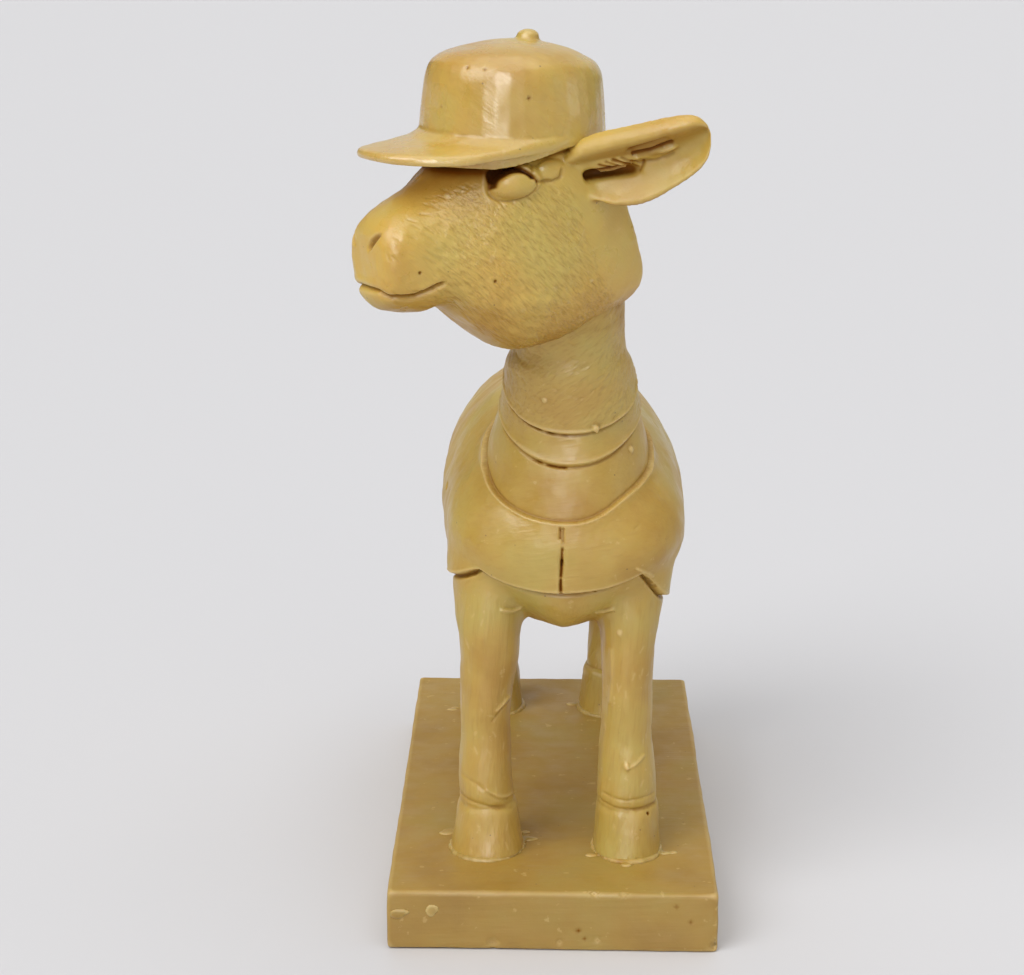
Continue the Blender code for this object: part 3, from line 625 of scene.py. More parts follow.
def crown():
    rings = []
    for lift, front, rear in smooth_rows(CROWN, 4):
        breadth = CROWN_BREADTH * (front + rear) / 2
        across, along = oval(breadth, CROWN_LENGTH * front, CROWN_LENGTH * rear)
        rings.append([tuple(head_point(s, a, lift + rim_climb(s, lift))) for a, s in zip(across, along)])
    return loft("crown", rings)


def peak_outline(angle):
    """Root and edge of the cap's peak in one direction, and how far round its rim has sunk in there."""
    half = PEAK_THICKNESS / 2
    cosine, sine = math.cos(angle), math.sin(angle)
    root = (CROWN_LENGTH * 0.75 * cosine, CROWN_BREADTH * 0.75 * sine)
    sunk = max(0.0, (math.degrees(abs(angle)) - PEAK_TURN) / (PEAK_END - PEAK_TURN))
    if cosine > 0:
        power = 2.0 / PEAK_SQUARENESS
        forward = (PEAK_REACH - half) * cosine**power
        out = (PEAK_BREADTH - half) * math.copysign(abs(sine) ** power, sine)
    else:
        forward = (PEAK_BREADTH - half) * CROWN_LENGTH / CROWN_BREADTH * cosine
        out = (PEAK_BREADTH - half) * sine
    inner = (CROWN_LENGTH * PEAK_SUNK * cosine, CROWN_BREADTH * PEAK_SUNK * sine)
    edge = (forward + (inner[0] - forward) * sunk, out + (inner[1] - out) * sunk)
    return root, edge, sunk


def peak():
    """The cap's peak: a plate that starts inside the crown, drooping forward and at its sides."""
    across_steps, out_steps = 57, 10
    half = PEAK_THICKNESS / 2
    rings = []
    for i in range(across_steps):
        root, edge, sunk = peak_outline(math.radians(PEAK_END * (2.0 * i / (across_steps - 1) - 1.0)))
        length = math.hypot(edge[0] - root[0], edge[1] - root[1])
        outward = ((edge[0] - root[0]) / length, (edge[1] - root[1]) / length)
        profile = [(length * j / out_steps, half) for j in range(out_steps + 1)]
        lip = [math.radians(90.0 - 30.0 * k) for k in range(1, 6)]
        profile += [(length + half * math.cos(a), half * math.sin(a)) for a in lip]
        profile += [(distance, -height) for distance, height in profile[out_steps::-1]]
        ring = []
        for distance, height in profile:
            s = root[0] + outward[0] * distance
            out = root[1] + outward[1] * distance
            reach = CROWN_LENGTH * max(0.0, math.hypot(s / CROWN_LENGTH, out / CROWN_BREADTH) - 1.0)
            share = min(1.0, PEAK_ARCH_SHARE[0] + PEAK_ARCH_SHARE[1] * s)
            arch = share * PEAK_ARCH * (out / PEAK_BREADTH) ** 2 * min(1.0, distance / length)
            if height > 0.0:
                height += 0.5 * PEAK_FILLET * max(0.0, 1.0 - reach / PEAK_FILLET) ** 2 * (1.0 - sunk)
            ring.append(tuple(head_point(s, out, PEAK_LIFT - PEAK_SLOPE * reach - arch + height)))
        rings.append(ring)
    return loft("peak", rings)


def button():
    place = head_point(BUTTON_BACK, 0.0, CROWN_HEIGHT + BUTTON_HEIGHT * 0.65)
    return ball("button", place, (BUTTON_RADIUS, BUTTON_RADIUS, BUTTON_HEIGHT))


def ear_frame(side):
    """An ear's root and its directions: along, across its breadth, and out of its cup. side 1 is left."""
    forward, left, up = head_axes()
    sweep, rise = math.radians(EAR_SWEEP), math.radians(EAR_RISE)
    level = left * side * math.cos(sweep) - forward * math.sin(sweep)
    along = level * math.cos(rise) + up * math.sin(rise)
    across = (up - along * up.dot(along)).normalized()
    root = head_point(EAR_ROOT[0], EAR_ROOT[1] * side, EAR_ROOT[2])
    return root, along, across, along.cross(across) * side


def ear(name, side):
    """A cupped leaf: each section is a crescent, open to the front, with a rolled upper rim."""
    root, along, across, opening = ear_frame(side)
    spread = np.linspace(-1.0, 1.0, 21)
    rings = []
    for t, upper, lower in smooth_rows(EAR, 4):
        half, middle = (upper - lower) / 2, (upper + lower) / 2
        size = min(1.0, half / 6.0)
        ring = []
        for a, face in [(a, -1) for a in spread] + [(a, 1) for a in spread[::-1]]:
            roll = bump(a - 0.57, 0.36)
            cup = -EAR_CUP * (1.0 - a * a) * (1.0 - 0.35 * a) + EAR_ROLL * roll
            wall = 0.5 * EAR_WALL * (1.0 + 0.7 * roll) * math.sqrt(1.0 - abs(a) ** 9)
            place = root + along * (EAR_LENGTH * t) + across * (middle + half * a)
            ring.append(tuple(place + opening * (size * (cup + face * wall))))
        rings.append(ring)
    return loft(name, rings)


def ear_fold(name, side, fold):
    """A tongue of wax inside the ear's cup."""
    root, along, across, opening = ear_frame(side)
    share, height, lift, radii = fold
    place = root + along * (EAR_LENGTH * share) + across * height + opening * lift
    lean = (along - across * 0.16).normalized()
    turn = Matrix((lean, opening.cross(lean), opening)).transposed()
    return ball(name, place, radii, turn)


def eye(name, side):
    forward, left, up = head_axes()
    tilt = math.radians(10.0)
    length = (forward * math.cos(tilt) - up * math.sin(tilt) - left * side * 0.18).normalized()
    outward = (left * side - length * length.dot(left * side)).normalized()
    turn = Matrix((length, outward, length.cross(outward))).transposed()
    place = head_point(EYE_PLACE[0], EYE_PLACE[1] * side, EYE_PLACE[2])
    return ball(name, place, EYE_RADII, turn)


def brow(name, side):
    forward, left, up = head_axes()
    turn = Matrix((forward, left * side, up)).transposed()
    place = head_point(BROW_PLACE[0], BROW_PLACE[1] * side, BROW_PLACE[2])
    return ball(name, place, BROW_RADII, turn)


def tail():
    rings = []
    for y, height, half, rise in smooth_rows(
        ((50.0, 94.0, 4.5, 5.0), (56.5, 96.0, 4.0, 4.0), (60.0, 101.0, 3.2, 3.0), (61.0, 106.5, 1.4, 1.4)), 4
    ):
        across, up = oval(half, rise, rise, count=24)
        lean = math.radians(20.0)
        rings.append(
            np.column_stack(
                (across + middle_x(y), y - up * math.sin(lean) * 2.0, height + up * math.cos(lean))
            )
        )
    return loft("tail", rings)


def soft_body():
    """Trunk, neck and legs, flowing into each other."""
    forms = [trunk(), neck(), tail()]
    for name, rows in leg_rows().items():
        forms.append(leg(name + "_leg", rows))
    body = fuse("soft_body", forms, SOFT_VOXEL, 14)
    body.modifiers.new("rounding", "SUBSURF").levels = 1
    return apply_modifiers(body)


def soft_head():
    head = fuse("soft_head", [skull()], SOFT_VOXEL, 6)
    head.modifiers.new("rounding", "SUBSURF").levels = 1
    return apply_modifiers(head)


def plane_gap(points, plane):
    """Height of points below a plane that rises to the rear: y and height of a point of it, and slope."""
    y, height, slope = plane
    return (height + slope * (points[:, 1] - y) - points[:, 2]) / math.hypot(1.0, slope)


def neckline_gap(points):
    """Height of points below the jacket's neckline."""
    x, half, lift = NECKLINE_KINK
    kink = lift * bump(points[:, 0] - x, half) * step((-30.0 - points[:, 1]) / 8.0)
    return plane_gap(points, NECKLINE) + kink


def hem_gap(points):
    """How far points lie above the jacket's hem, which arches over each front leg."""
    out = np.abs(points[:, 0] - HEM_MIDDLE_X)
    fall = np.where(points[:, 0] < HEM_MIDDLE_X, HEM_FALL_RIGHT, HEM_FALL_LEFT)
    arch = np.where(
        out < HEM_PEAK_X,
        HEM_RISE * (out / HEM_PEAK_X) ** 2,
        HEM_RISE - fall * (out - HEM_PEAK_X),
    )
    to_flank = step((points[:, 1] + 36.0) / 14.0)
    front = HEM_MIDDLE + arch
    return points[:, 2] - (front + (FLANK_HEM - front) * to_flank)


def garment(points):
    """How far the clothes stand proud of each point: jacket, collar bands and the grooves beside them."""
    neckline = neckline_gap(points)
    jacket = np.minimum(neckline, hem_gap(points))
    jacket = np.minimum(jacket, REAR_EDGE_Y - points[:, 1])
    on_body = step((118.0 - points[:, 2]) / 4.0)
    proud = JACKET_PROUD * step(jacket / 0.5 + 0.5)
    proud -= 0.5 * bump(jacket + 0.6, 0.5) * step((72.0 - points[:, 2]) / 4.0 + 1.0)
    above_neckline = step(-neckline / 0.5)
    band = step(-plane_gap(points, BAND_LOWER) / 0.4 + 0.5)
    skin = step(-plane_gap(points, BAND_UPPER) / 0.4 + 0.5)
    proud += BAND_PROUD * (band + skin) * above_neckline
    return proud * on_body


def mouth_groove(local):
    """Depth of the mouth line, which runs back from the lips along both sides, with a lip on each side."""
    s, up = local[:, 0], local[:, 2]
    line = MOUTH_LOW + 1.5 * step((26.0 - s) / 7.0) + 1.3 * step((s - 29.0) / 2.5)
    reach = step((s - MOUTH_BACK) / 1.5)
    return (1.0 * bump(up - line, 0.4) - 0.12 * bump(np.abs(up - line) - 1.2, 0.7)) * reach


def nostril_groove(local):
    """Depth of the two slanting nostrils, each with a raised rim."""
    direction = np.array(Vector(NOSTRIL_LINE).normalized())
    offset = np.column_stack((local[:, 0], np.abs(local[:, 1]), local[:, 2])) - np.array(NOSTRIL_PLACE)
    along = offset @ direction
    aside = np.linalg.norm(offset - along[:, None] * direction, axis=1)
    slit = 1.2 * bump(along, NOSTRIL_HALF) * bump(aside, 0.75)
    return slit - 0.3 * bump(along, 1.5 * NOSTRIL_HALF) * bump(aside - 1.8, 0.7)


def eye_socket(local):
    """Depth of the hollow that rings each eye, deepest above and in front, and of the lid round it."""
    s, out, up = local[:, 0] - EYE_PLACE[0], np.abs(local[:, 1]), local[:, 2] - EYE_PLACE[2]
    ring = np.sqrt((s / (EYE_RADII[0] + 0.3)) ** 2 + (up / (EYE_RADII[2] + 0.3)) ** 2)
    deep = 0.35 + 0.55 * step(0.5 + 0.5 * (up / EYE_RADII[2] + s / EYE_RADII[0]))
    lid = 0.3 * bump(ring - 1.24, 0.08) * step(0.5 + s / EYE_RADII[0])
    return (deep * bump(ring - 1.06, 0.12) - lid) * step((out - 8.0) / 2.0) * step(16.0 - out)


def ear_groove(points, normals):
    """Depth of the dark hollow under the ear's flap and of the slit above its ridge."""
    depth = np.zeros(len(points))
    for side in (-1, 1):
        root, along, across, opening = (np.array(v) for v in ear_frame(side))
        offset = points - root
        share = offset @ along / EAR_LENGTH
        height = offset @ across
        inner = step(2.0 * (normals @ opening)) * (np.abs(offset @ opening) < 7.0) * (height < 4.0)
        hollow = bump(height + 2.2 + 5.0 * share, 0.9) * step((share - 0.1) / 0.06)
        hollow *= step((0.52 - share) / 0.1)
        slit = bump(height + 0.8, 0.45) * step((share - 0.44) / 0.06) * step((0.78 - share) / 0.08)
        depth += inner * (1.6 * hollow + 0.8 * slit)
    return depth


def hoof_groove(points):
    """Depth of the groove where each hoof meets its pastern."""
    top = PLINTH_HEIGHT + SEAT_GAP + HOOF_HEIGHT
    return 0.5 * bump(points[:, 2] - top, 0.6)


def plinth():
    model = bmesh.new()
    bmesh.ops.create_cube(model, size=1.0)
    size = Matrix.Diagonal((PLINTH_WIDTH, PLINTH_LENGTH, PLINTH_HEIGHT, 1.0))
    place = Matrix.Translation((0.0, 0.0, PLINTH_HEIGHT / 2))
    bmesh.ops.transform(model, matrix=place @ size, verts=model.verts)
    slab = mesh_object("plinth", model)
    edge = slab.modifiers.new("edge", "BEVEL")
    edge.width = PLINTH_EDGE
    edge.segments = 2
    return apply_modifiers(slab)


def skin(item):
    """A mesh's points and normals as arrays."""
    mesh = item.data
    points = np.empty(len(mesh.vertices) * 3, np.float32)
    normals = np.empty(len(mesh.vertices) * 3, np.float32)
    mesh.vertices.foreach_get("co", points)
    mesh.vertices.foreach_get("normal", normals)
    return points.reshape(-1, 3).astype(float), normals.reshape(-1, 3).astype(float)


def push(item, shift):
    """Moves each point along its normal by its own shift."""
    points, normals = skin(item)
    points += normals * shift[:, None]
    item.data.vertices.foreach_set("co", points.astype(np.float32).ravel())
    item.data.update()


def waver(points, size, seed):
    """Smooth noise from about -1 to 1 whose lumps are about size across."""
    rng = np.random.default_rng(seed)
    total = np.zeros(len(points))
    for _ in range(9):
        direction = rng.normal(size=3)
        direction /= np.linalg.norm(direction)
        pitch = size * rng.uniform(0.7, 1.5)
        total += np.sin(points @ direction * (2.0 * math.pi / pitch) + rng.uniform(0.0, 2.0 * math.pi))
    return total / 4.5


def tree_of(points):
    tree = kdtree.KDTree(len(points))
    for i, point in enumerate(points):
        tree.insert(point, i)
    tree.balance()
    return tree


def strokes(item, count, seed, where, flow, length, width, depth):
    """Depth of many short tool strokes. where gives each point a chance, and flow their direction."""
    points, normals = skin(item)
    rng = np.random.default_rng(seed)
    chance = where(points, normals)
    tree = tree_of(points)
    depths = np.zeros(len(points))
    for pick in rng.choice(len(points), size=count, p=chance / chance.sum()):
        direction = flow(points[pick]) + rng.normal(scale=0.13, size=3)
        direction -= normals[pick] * direction.dot(normals[pick])
        direction /= np.linalg.norm(direction)
        size = rng.uniform(0.6, 1.3)
        half = 0.5 * length * size
        near = np.array([i for _, i, _ in tree.find_range(points[pick], half + width)])
        offset = points[near] - points[pick]
        along = offset @ direction
        aside = np.sqrt(np.maximum(0.0, (offset**2).sum(axis=1) - along**2))
        amount = depth * size * bump(aside, width) * step((half - np.abs(along)) / (0.6 * half))
        depths[near] = np.maximum(depths[near], amount)
    return depths


# Places on the front are told apart by x and height, and little by how near the front they are
FRONT_VIEW = np.array((1.0, 0.05, 1.0))


def segment_gap(points, start, end):
    """Distance of points from a straight piece of line, as seen from the front."""
    start, end = np.array(start) * FRONT_VIEW, np.array(end) * FRONT_VIEW
    along = end - start
    offset = points * FRONT_VIEW - start
    share = np.clip(offset @ along / (along @ along), 0.0, 1.0)
    return np.linalg.norm(offset - share[:, None] * along, axis=1)


def cracks(points, rows):
    """Depth and darkness of named cracks and ridges, a little uneven along their length."""
    depth, dark = np.zeros(len(points)), np.zeros(len(points))
    uneven = 1.0 + 0.3 * waver(points, 3.0, 31)
    for deep, width, tone, places in rows:
        gap = np.min([segment_gap(points, a, b) for a, b in zip(places, places[1:])], axis=0)
        mark = bump(gap, width * uneven)
        depth += deep * mark
        dark += tone * mark
    return depth, dark


def spots(points, rows):
    """Depth and darkness of named pits and chips, each at the skin's nearest point seen from the front."""
    depth, dark = np.zeros(len(points)), np.zeros(len(points))
    uneven = 1.0 + 0.4 * waver(points, 1.7, 33)
    for place, radius, deep, tone in rows:
        aside = ((points - np.array(place)) * FRONT_VIEW)
        middle = points[np.argmin((aside**2).sum(axis=1))]
        gap = np.linalg.norm(points - middle, axis=1)
        mark = step(1.6 - gap / (radius * uneven))
        depth += deep * mark
        dark += tone * mark
    return depth, dark


def neighbours(item):
    """A function that gives the mean of a value over each point's neighbours."""
    mesh = item.data
    ends = np.empty(len(mesh.edges) * 2, np.int32)
    mesh.edges.foreach_get("vertices", ends)
    ends = ends.reshape(-1, 2)
    size = len(mesh.vertices)
    count = np.bincount(ends.ravel(), minlength=size)

    def around(values):
        total = np.bincount(ends[:, 0], values[ends[:, 1]], size)
        return (total + np.bincount(ends[:, 1], values[ends[:, 0]], size)) / count

    return around


def bend(item):
    """How hollow (above 0) or how sharp (below 0) the skin is at each point."""
    around = neighbours(item)
    points, normals = skin(item)
    middle = np.column_stack([around(points[:, axis]) for axis in range(3)])
    hollow = ((middle - points) * normals).sum(axis=1)
    for _ in range(3):
        hollow = around(hollow)
    return hollow


def soften(item, share, rounds):
    """Smooths the skin as far as share says at each point."""
    around = neighbours(item)
    points, _ = skin(item)
    for _ in range(rounds):
        middle = np.column_stack([around(points[:, axis]) for axis in range(3)])
        points += 0.5 * share[:, None] * (middle - points)
    item.data.vertices.foreach_set("co", points.astype(np.float32).ravel())
    item.data.update()


def stain(item, dark, voxel, caught=0.35):
    """Stores how dark and how pale each point is painted: dark marks together with painted shade, pale marks
    together with painted highlights. Hollows are made a little darker and sharp edges a little paler.
    """
    hollow = bend(item) / (0.045 * voxel)
    for name, tone in (("grime_and_shade", np.maximum(dark, 0.0) + caught * np.clip(hollow - 0.4, 0.0, 1.0)),
                       ("wear_and_highlight", np.maximum(-dark, 0.0) + 0.5 * np.clip(-hollow - 0.9, 0.0, 1.0))):
        layer = item.data.attributes.new(name, "FLOAT", "POINT")
        layer.data.foreach_set("value", np.clip(tone, 0.0, 2.0).astype(np.float32))


def thin(item):
    """Fewer triangles where the skin is smooth."""
    triangles = sum(len(face.vertices) - 2 for face in item.data.polygons)
    if triangles > PIECE_TRIANGLES:
        item.modifiers.new("fewer", "DECIMATE").ratio = PIECE_TRIANGLES / triangles
        apply_modifiers(item)
    return item


def grain(points, flow, length, pitch):
    """Coordinates for tool marks that run along flow and are about length by pitch in size."""
    along = np.array(flow) / np.linalg.norm(flow)
    side = np.cross(along, (0.0, 1.0, 0.0))
    side /= np.linalg.norm(side)
    return points @ np.array((along / length, side / pitch, np.cross(along, side) / pitch)).T


def tool(item, coordinates, strength):
    """Stores where the tool marks of a piece run and how strong they are, for its material."""
    run = item.data.attributes.new("grain", "FLOAT_VECTOR", "POINT")
    run.data.foreach_set("vector", coordinates.astype(np.float32).ravel())
    force = item.data.attributes.new("tooled", "FLOAT", "POINT")
    force.data.foreach_set("value", strength.astype(np.float32))


def ear_share(points):
    """How far along the nearer ear each point is, from 0 at its root to 1 at its tip."""
    shares = []
    for side in (-1, 1):
        root, along, _, _ = (np.array(v) for v in ear_frame(side))
        shares.append(np.clip((points - root) @ along / EAR_LENGTH, 0.0, 1.0))
    return np.max(shares, axis=0)


def ear_seat(points):
    """How near each point is to where an ear meets the head, behind the brow."""
    near = np.zeros(len(points))
    for side in (-1, 1):
        root, along, _, opening = (np.array(v) for v in ear_frame(side))
        share = (points - root) @ along / EAR_LENGTH
        aside = np.abs((points - root) @ opening)
        near = np.maximum(near, bump(share - 0.13, 0.08) * step((10.0 - aside) / 4.0))
    return near * step((-4.5 - to_head(points)[:, 0]) / 2.0)


def ear_cup(local, normals):
    """How far each point lies inside the cup of an ear."""
    cup = np.zeros(len(local))
    for side in (-1, 1):
        opening = np.array(ear_frame(side)[3])
        cup = np.maximum(cup, step(2.0 * (normals @ opening)) * step((side * local[:, 1] - 14.5) / 2.0))
    return cup


def eye_ring(local):
    """Places round each eye: ahead and above its middle, and the distance, all in shares of its size."""
    tilt = math.radians(EYE_TILT)
    s, up = local[:, 0] - EYE_MIDDLE[0], local[:, 2] - EYE_MIDDLE[1]
    ahead = (s * math.cos(tilt) - up * math.sin(tilt)) / EYE_HALF
    above = up * math.cos(tilt) + s * math.sin(tilt)
    above /= np.where(above > 0.0, EYE_ABOVE, EYE_BELOW)
    return ahead, above, np.hypot(ahead, above) + 1e-6


def face_fur(points):
    """Where fur is drawn: the sides of the face, less on the muzzle, and not on the eyes and ears."""
    local = to_head(points)
    face = (0.1 + 0.9 * step((25.0 - local[:, 0]) / 10.0)) * step(1.0 - 12.0 * ear_share(points))
    face *= step((eye_ring(local)[2] - 1.1) / 0.3)
    return face * step((-4.0 - local[:, 2]) / 3.0) * step((np.abs(local[:, 1]) - 4.0) / 4.0)


def fur_chance(points, normals):
    return face_fur(points) + 1e-6


def fur_flow(point):
    """Fur lies back from the nose, and steeper down the cheek."""
    forward, left, up = (np.array(axis) for axis in head_axes())
    s = to_head(point[None, :])[0, 0]
    steep = math.radians(FUR_STEEP + 16.0 * float(step(np.array((20.0 - s) / 26.0))))
    return -forward * math.cos(steep) - up * math.sin(steep)


def nostril_slot(local):
    """Depth of the two nostrils with their crisp edges. The far one is a little further out."""
    direction = np.array(SLOT_LINE) / np.linalg.norm(SLOT_LINE)
    out = np.where(local[:, 1] > 0.0, local[:, 1], -2.8 - local[:, 1])
    offset = np.column_stack((local[:, 0], out, local[:, 2])) - np.array(SLOT_PLACE)
    along = offset @ direction
    aside = np.linalg.norm(offset - along[:, None] * direction, axis=1)
    inside = 1.0 - np.sqrt((along / SLOT_HALF) ** 2 + (aside / SLOT_WIDTH) ** 2)
    return step(1.2 * inside + 0.55)


def eye_edge(local):
    """Depth of the hollow above and in front of each eye, with its lid and its lower edge, and the painted shade in
    that hollow and along the lower edge.
    """
    ahead, above, ring = eye_ring(local)
    in_front = step((ahead - 0.3) / 0.4)
    open_part = step(0.1 + 0.25 * in_front + 2.2 * above / ring)
    start = ring - 0.62 - 0.09 * in_front - 0.38 * (1.0 - open_part)
    rim = 1.16 - 0.1 * step((ahead - 0.75) / 0.2) - 0.12 * step((-0.3 - ahead) / 0.4)
    end = step((rim - ring) / 0.12)
    edge = (1.0 - open_part) * bump(ring - 1.02, 0.07)
    lid = bump(ring - rim - 0.1, 0.1) * step(0.3 + ahead) * step(1.0 + above)
    near = step((np.abs(local[:, 1]) - 8.0) / 2.0)
    depth = 0.85 * open_part * step(start / 0.3) * end + 0.3 * edge - 0.25 * lid
    return near * depth, near * (1.75 * open_part * step((start - 0.05) / 0.22) * end + 0.35 * edge)


def fine_head():
    forms = [skull()]
    for side in (-1, 1):
        forms.append(ear("ear", side))
        forms.append(ear_fold("ear_flap", side, EAR_FLAP))
        forms.append(ear_fold("ear_ridge", side, EAR_RIDGE))
        forms.append(eye("eye", side))
        forward, _, up = head_axes()
        forms[-1].data.transform(Matrix.Translation(-EYE_BACK * Vector(forward) - EYE_LOWER * Vector(up)))
        forms.append(brow("brow", side))
    head = fuse("goat_head", forms, HEAD_VOXEL, 3)
    soften(head, ear_seat(skin(head)[0]), 90)
    points, normals = skin(head)
    local = to_head(points)
    raised = local - np.outer(0.8 * step((25.0 - local[:, 0]) / 7.0), (0.0, 0.0, 1.0))
    socket, socket_shade = eye_edge(local)
    slot = nostril_slot(local)
    grooves = np.where(local[:, 2] < -0.5, mouth_groove(raised) + 0.9 * slot + socket, 0.0)
    ears = ear_groove(points, normals) * step((ear_share(points) - HOLLOW_START) / 0.04)
    pit, pit_dark = spots(points, HEAD_SPOTS)
    facing = step(0.5 - 2.0 * normals[:, 1])
    fold, fold_dark = (facing * value for value in cracks(points, HEAD_FOLDS))
    surface = 0.16 * waver(points, 9.0, 3) + 0.05 * waver(points, 2.6, 4)
    push(head, surface - grooves - ears - pit - fold)
    fur = strokes(head, 2200, 5, fur_chance, fur_flow, 2.8, 0.22, 0.12)
    push(head, -fur)
    # Painted shade: the shadow of the cap's peak on the brow, shade on the downward faces of the head, and a little
    # inside the ears' cups.
    shaded = 1.8 * step((local[:, 2] + 4.8) / 3.4) * step((local[:, 0] - 9.0) / 3.0)
    shaded += 0.7 * step(-normals[:, 2] - 0.2) * (local[:, 0] < 36.0) + 0.15 * ear_cup(local, normals)
    # Painted shade darkens the mouth line, the nostrils, the hollows round the eyes, the hollows under the ears'
    # flaps (most at the ears' roots) and the folds' creases. The fur strokes and pits are darker marks.
    dark = 0.9 * np.clip(mouth_groove(raised) - 0.35, 0.0, 0.7) + 0.55 * slot + socket_shade
    dark = np.where(local[:, 2] < -0.5, dark, 0.0) + 0.8 * fur + fold_dark
    dark += 2.1 * np.clip(ears - 0.3, 0.0, 0.9) * (1.05 - 1.5 * ear_share(points))
    stain(head, dark + pit_dark + shaded, HEAD_VOXEL, 0.12)
    thin(head)
    points, _ = skin(head)
    forward, _, up = (np.array(axis) for axis in head_axes())
    steep = math.radians(FUR_STEEP + 6.0)
    flow = -forward * math.cos(steep) - up * math.sin(steep)
    tool(head, grain(points, flow, 2.2, 0.36), 0.15 + 0.85 * face_fur(points))
    return head


def fine_cap():
    cap = fuse("goat_cap", [crown(), peak(), button()], CAP_VOXEL, 4)
    points, _ = skin(cap)
    pit, dark = spots(points, CAP_SPOTS)
    push(cap, 0.12 * waver(points, 13.0, 8) + 0.03 * waver(points, 3.5, 10) - pit)
    stain(cap, dark, CAP_VOXEL)
    thin(cap)
    points, _ = skin(cap)
    tool(cap, grain(points, (0.8, 0.0, -0.5), 5.0, 0.8), np.full(len(points), 0.3))
    return cap


def seams(points):
    """Raised rims along the edges of the clothes and the narrow gaps beside them: height, and darkness. The
    darkness paints shade in the gaps and under the hem's ends and darkens the collar's splits. Its negative part
    makes the rims paler, as rubbed edges carrying a painted highlight.
    """
    hem, neckline = hem_gap(points), neckline_gap(points)
    band, collar = -plane_gap(points, BAND_LOWER), -plane_gap(points, BAND_UPPER)
    front = step((-22.0 - points[:, 1]) / 10.0)
    cloth, bib = step(hem - 1.0), step(-neckline)
    below_head = step((118.0 - points[:, 2]) / 4.0)
    uneven = 1.0 + 0.35 * waver(points, 6.0, 35)
    rim = 0.16 * uneven * bump(neckline - 0.1, 0.17) * cloth + 0.12 * bump(hem - 0.35, 0.3) * step(neckline)
    rim += bib * below_head * (0.18 * bump(band - 0.3, 0.3) + 0.22 * bump(collar - 0.3, 0.3))
    open_side = 0.3 + 0.9 * step((-7.0 - points[:, 0]) / 6.0)
    gap = 0.35 * open_side * bump(neckline + 0.4, 0.22) * cloth
    gap += bib * below_head * (0.25 * bump(band + 0.3, 0.25) + 0.3 * bump(collar + 0.3, 0.25))
    ends = step((np.abs(points[:, 0] - HEM_MIDDLE_X) - 12.0) / 4.0)
    under = (0.2 + 0.4 * ends) * bump(hem + 0.5, 0.28) * step(neckline)
    across = points[:, 0]
    split = bump(collar + 0.3, 0.12) * step(across + 8.2) * step(2.4 - across)
    split += bump(band + 0.3, 0.11) * step(across + 5.8) * step(3.0 - across)
    split *= bib * below_head * step(0.7 + waver(points, 2.5, 37))
    # Painted shade in the gaps and under the hem's ends, darker splits in the collar, and paler rims for rubbing
    # and a painted highlight.
    dark = 0.4 * gap + 0.5 * ends * under + 0.8 * split - 1.0 * rim
    return front * (rim - gap - under - 0.5 * split), front * dark


# The knife's facets on the legs are this much longer than they are wide, upright
LEG_GRAIN = np.array((1.0, 1.0, 0.28))
# Inside the head the top of the neck is drawn in by this much, so that it doesn't show through the nape
HIDDEN = 1.8


def neck_chance(points, normals):
    """Tool strokes cover the neck between the collar and the head, most at its left."""
    high = step((points[:, 2] - 103.0) / 3.0) * step((132.0 - points[:, 2]) / 4.0)
    return high * (0.4 + 0.6 * step(points[:, 0] / 8.0)) + 0.004


def neck_flow(point):
    return np.array((0.7, 0.0, 0.6 if point[0] > 4.0 else -0.35))


def leg_chance(points, normals):
    """Scrapes lie on the legs, most on their fronts."""
    return step((66.0 - points[:, 2]) / 4.0) * (0.2 + step(-normals[:, 1])) + 1e-6


def leg_flow(point):
    return np.array((0.5 * math.sin(9.0 * point[2]), 0.0, 1.0))


def fine_body():
    forms = [soft_body()] + [hoof(name) for name in HOOVES]
    body = fuse("goat_body", forms, BODY_VOXEL, 4)
    points, _ = skin(body)
    rim, seam_dark = seams(points)
    uneven = np.column_stack((np.zeros((len(points), 2)), 0.5 * waver(points, 9.0, 17)))
    form = garment(points) + rim - 0.25 * hoof_groove(points + uneven) - HIDDEN * step((points[:, 2] - 131.0) / 2.5)
    carved = 0.1 * waver(points * LEG_GRAIN, 3.6, 19) * step((68.0 - points[:, 2]) / 3.0)
    push(body, form + carved + 0.15 * waver(points, 11.0, 12) + 0.045 * waver(points, 3.0, 13))
    points, _ = skin(body)
    crack, crack_dark = cracks(points, CRACKS)
    pit, pit_dark = spots(points, BODY_SPOTS)
    push(body, -crack - pit)
    cuts = strokes(body, 900, 16, neck_chance, neck_flow, 2.4, 0.28, 0.11)
    push(body, -cuts)
    scrapes = strokes(body, 130, 23, leg_chance, leg_flow, 2.0, 0.2, 0.05)
    push(body, -scrapes)
    # Painted shadow of the jaw on the top of the neck, patchy.
    jaw_shadow = step((points[:, 2] - 119.0) / 6.0) * (0.6 + 0.5 * waver(points, 3.0, 18))
    dark = crack_dark + pit_dark + seam_dark + 0.3 * cuts + 0.3 * jaw_shadow - 9.0 * scrapes
    dark -= 0.1 * step((points[:, 2] - 101.0) / 3.0)
    stain(body, dark, BODY_VOXEL)
    thin(body)
    points, _ = skin(body)
    legs, neck_part = step((70.0 - points[:, 2]) / 2.0), step((points[:, 2] - 102.0) / 2.0)
    run = np.where(
        (legs > 0.5)[:, None], grain(points, (0.06, 0.0, 1.0), 6.0, 0.7), grain(points, (1.0, 0.0, 0.15), 7.0, 0.8)
    )
    run = np.where((neck_part > 0.5)[:, None], grain(points, (0.75, 0.0, 0.5), 2.6, 0.6), run)
    calm = step(np.abs(points[:, 2] - 69.0) - 0.2) * step(np.abs(points[:, 2] - 103.0) - 0.2)
    tool(body, run, calm * (0.3 + 0.15 * legs + 0.5 * neck_part))
    return body


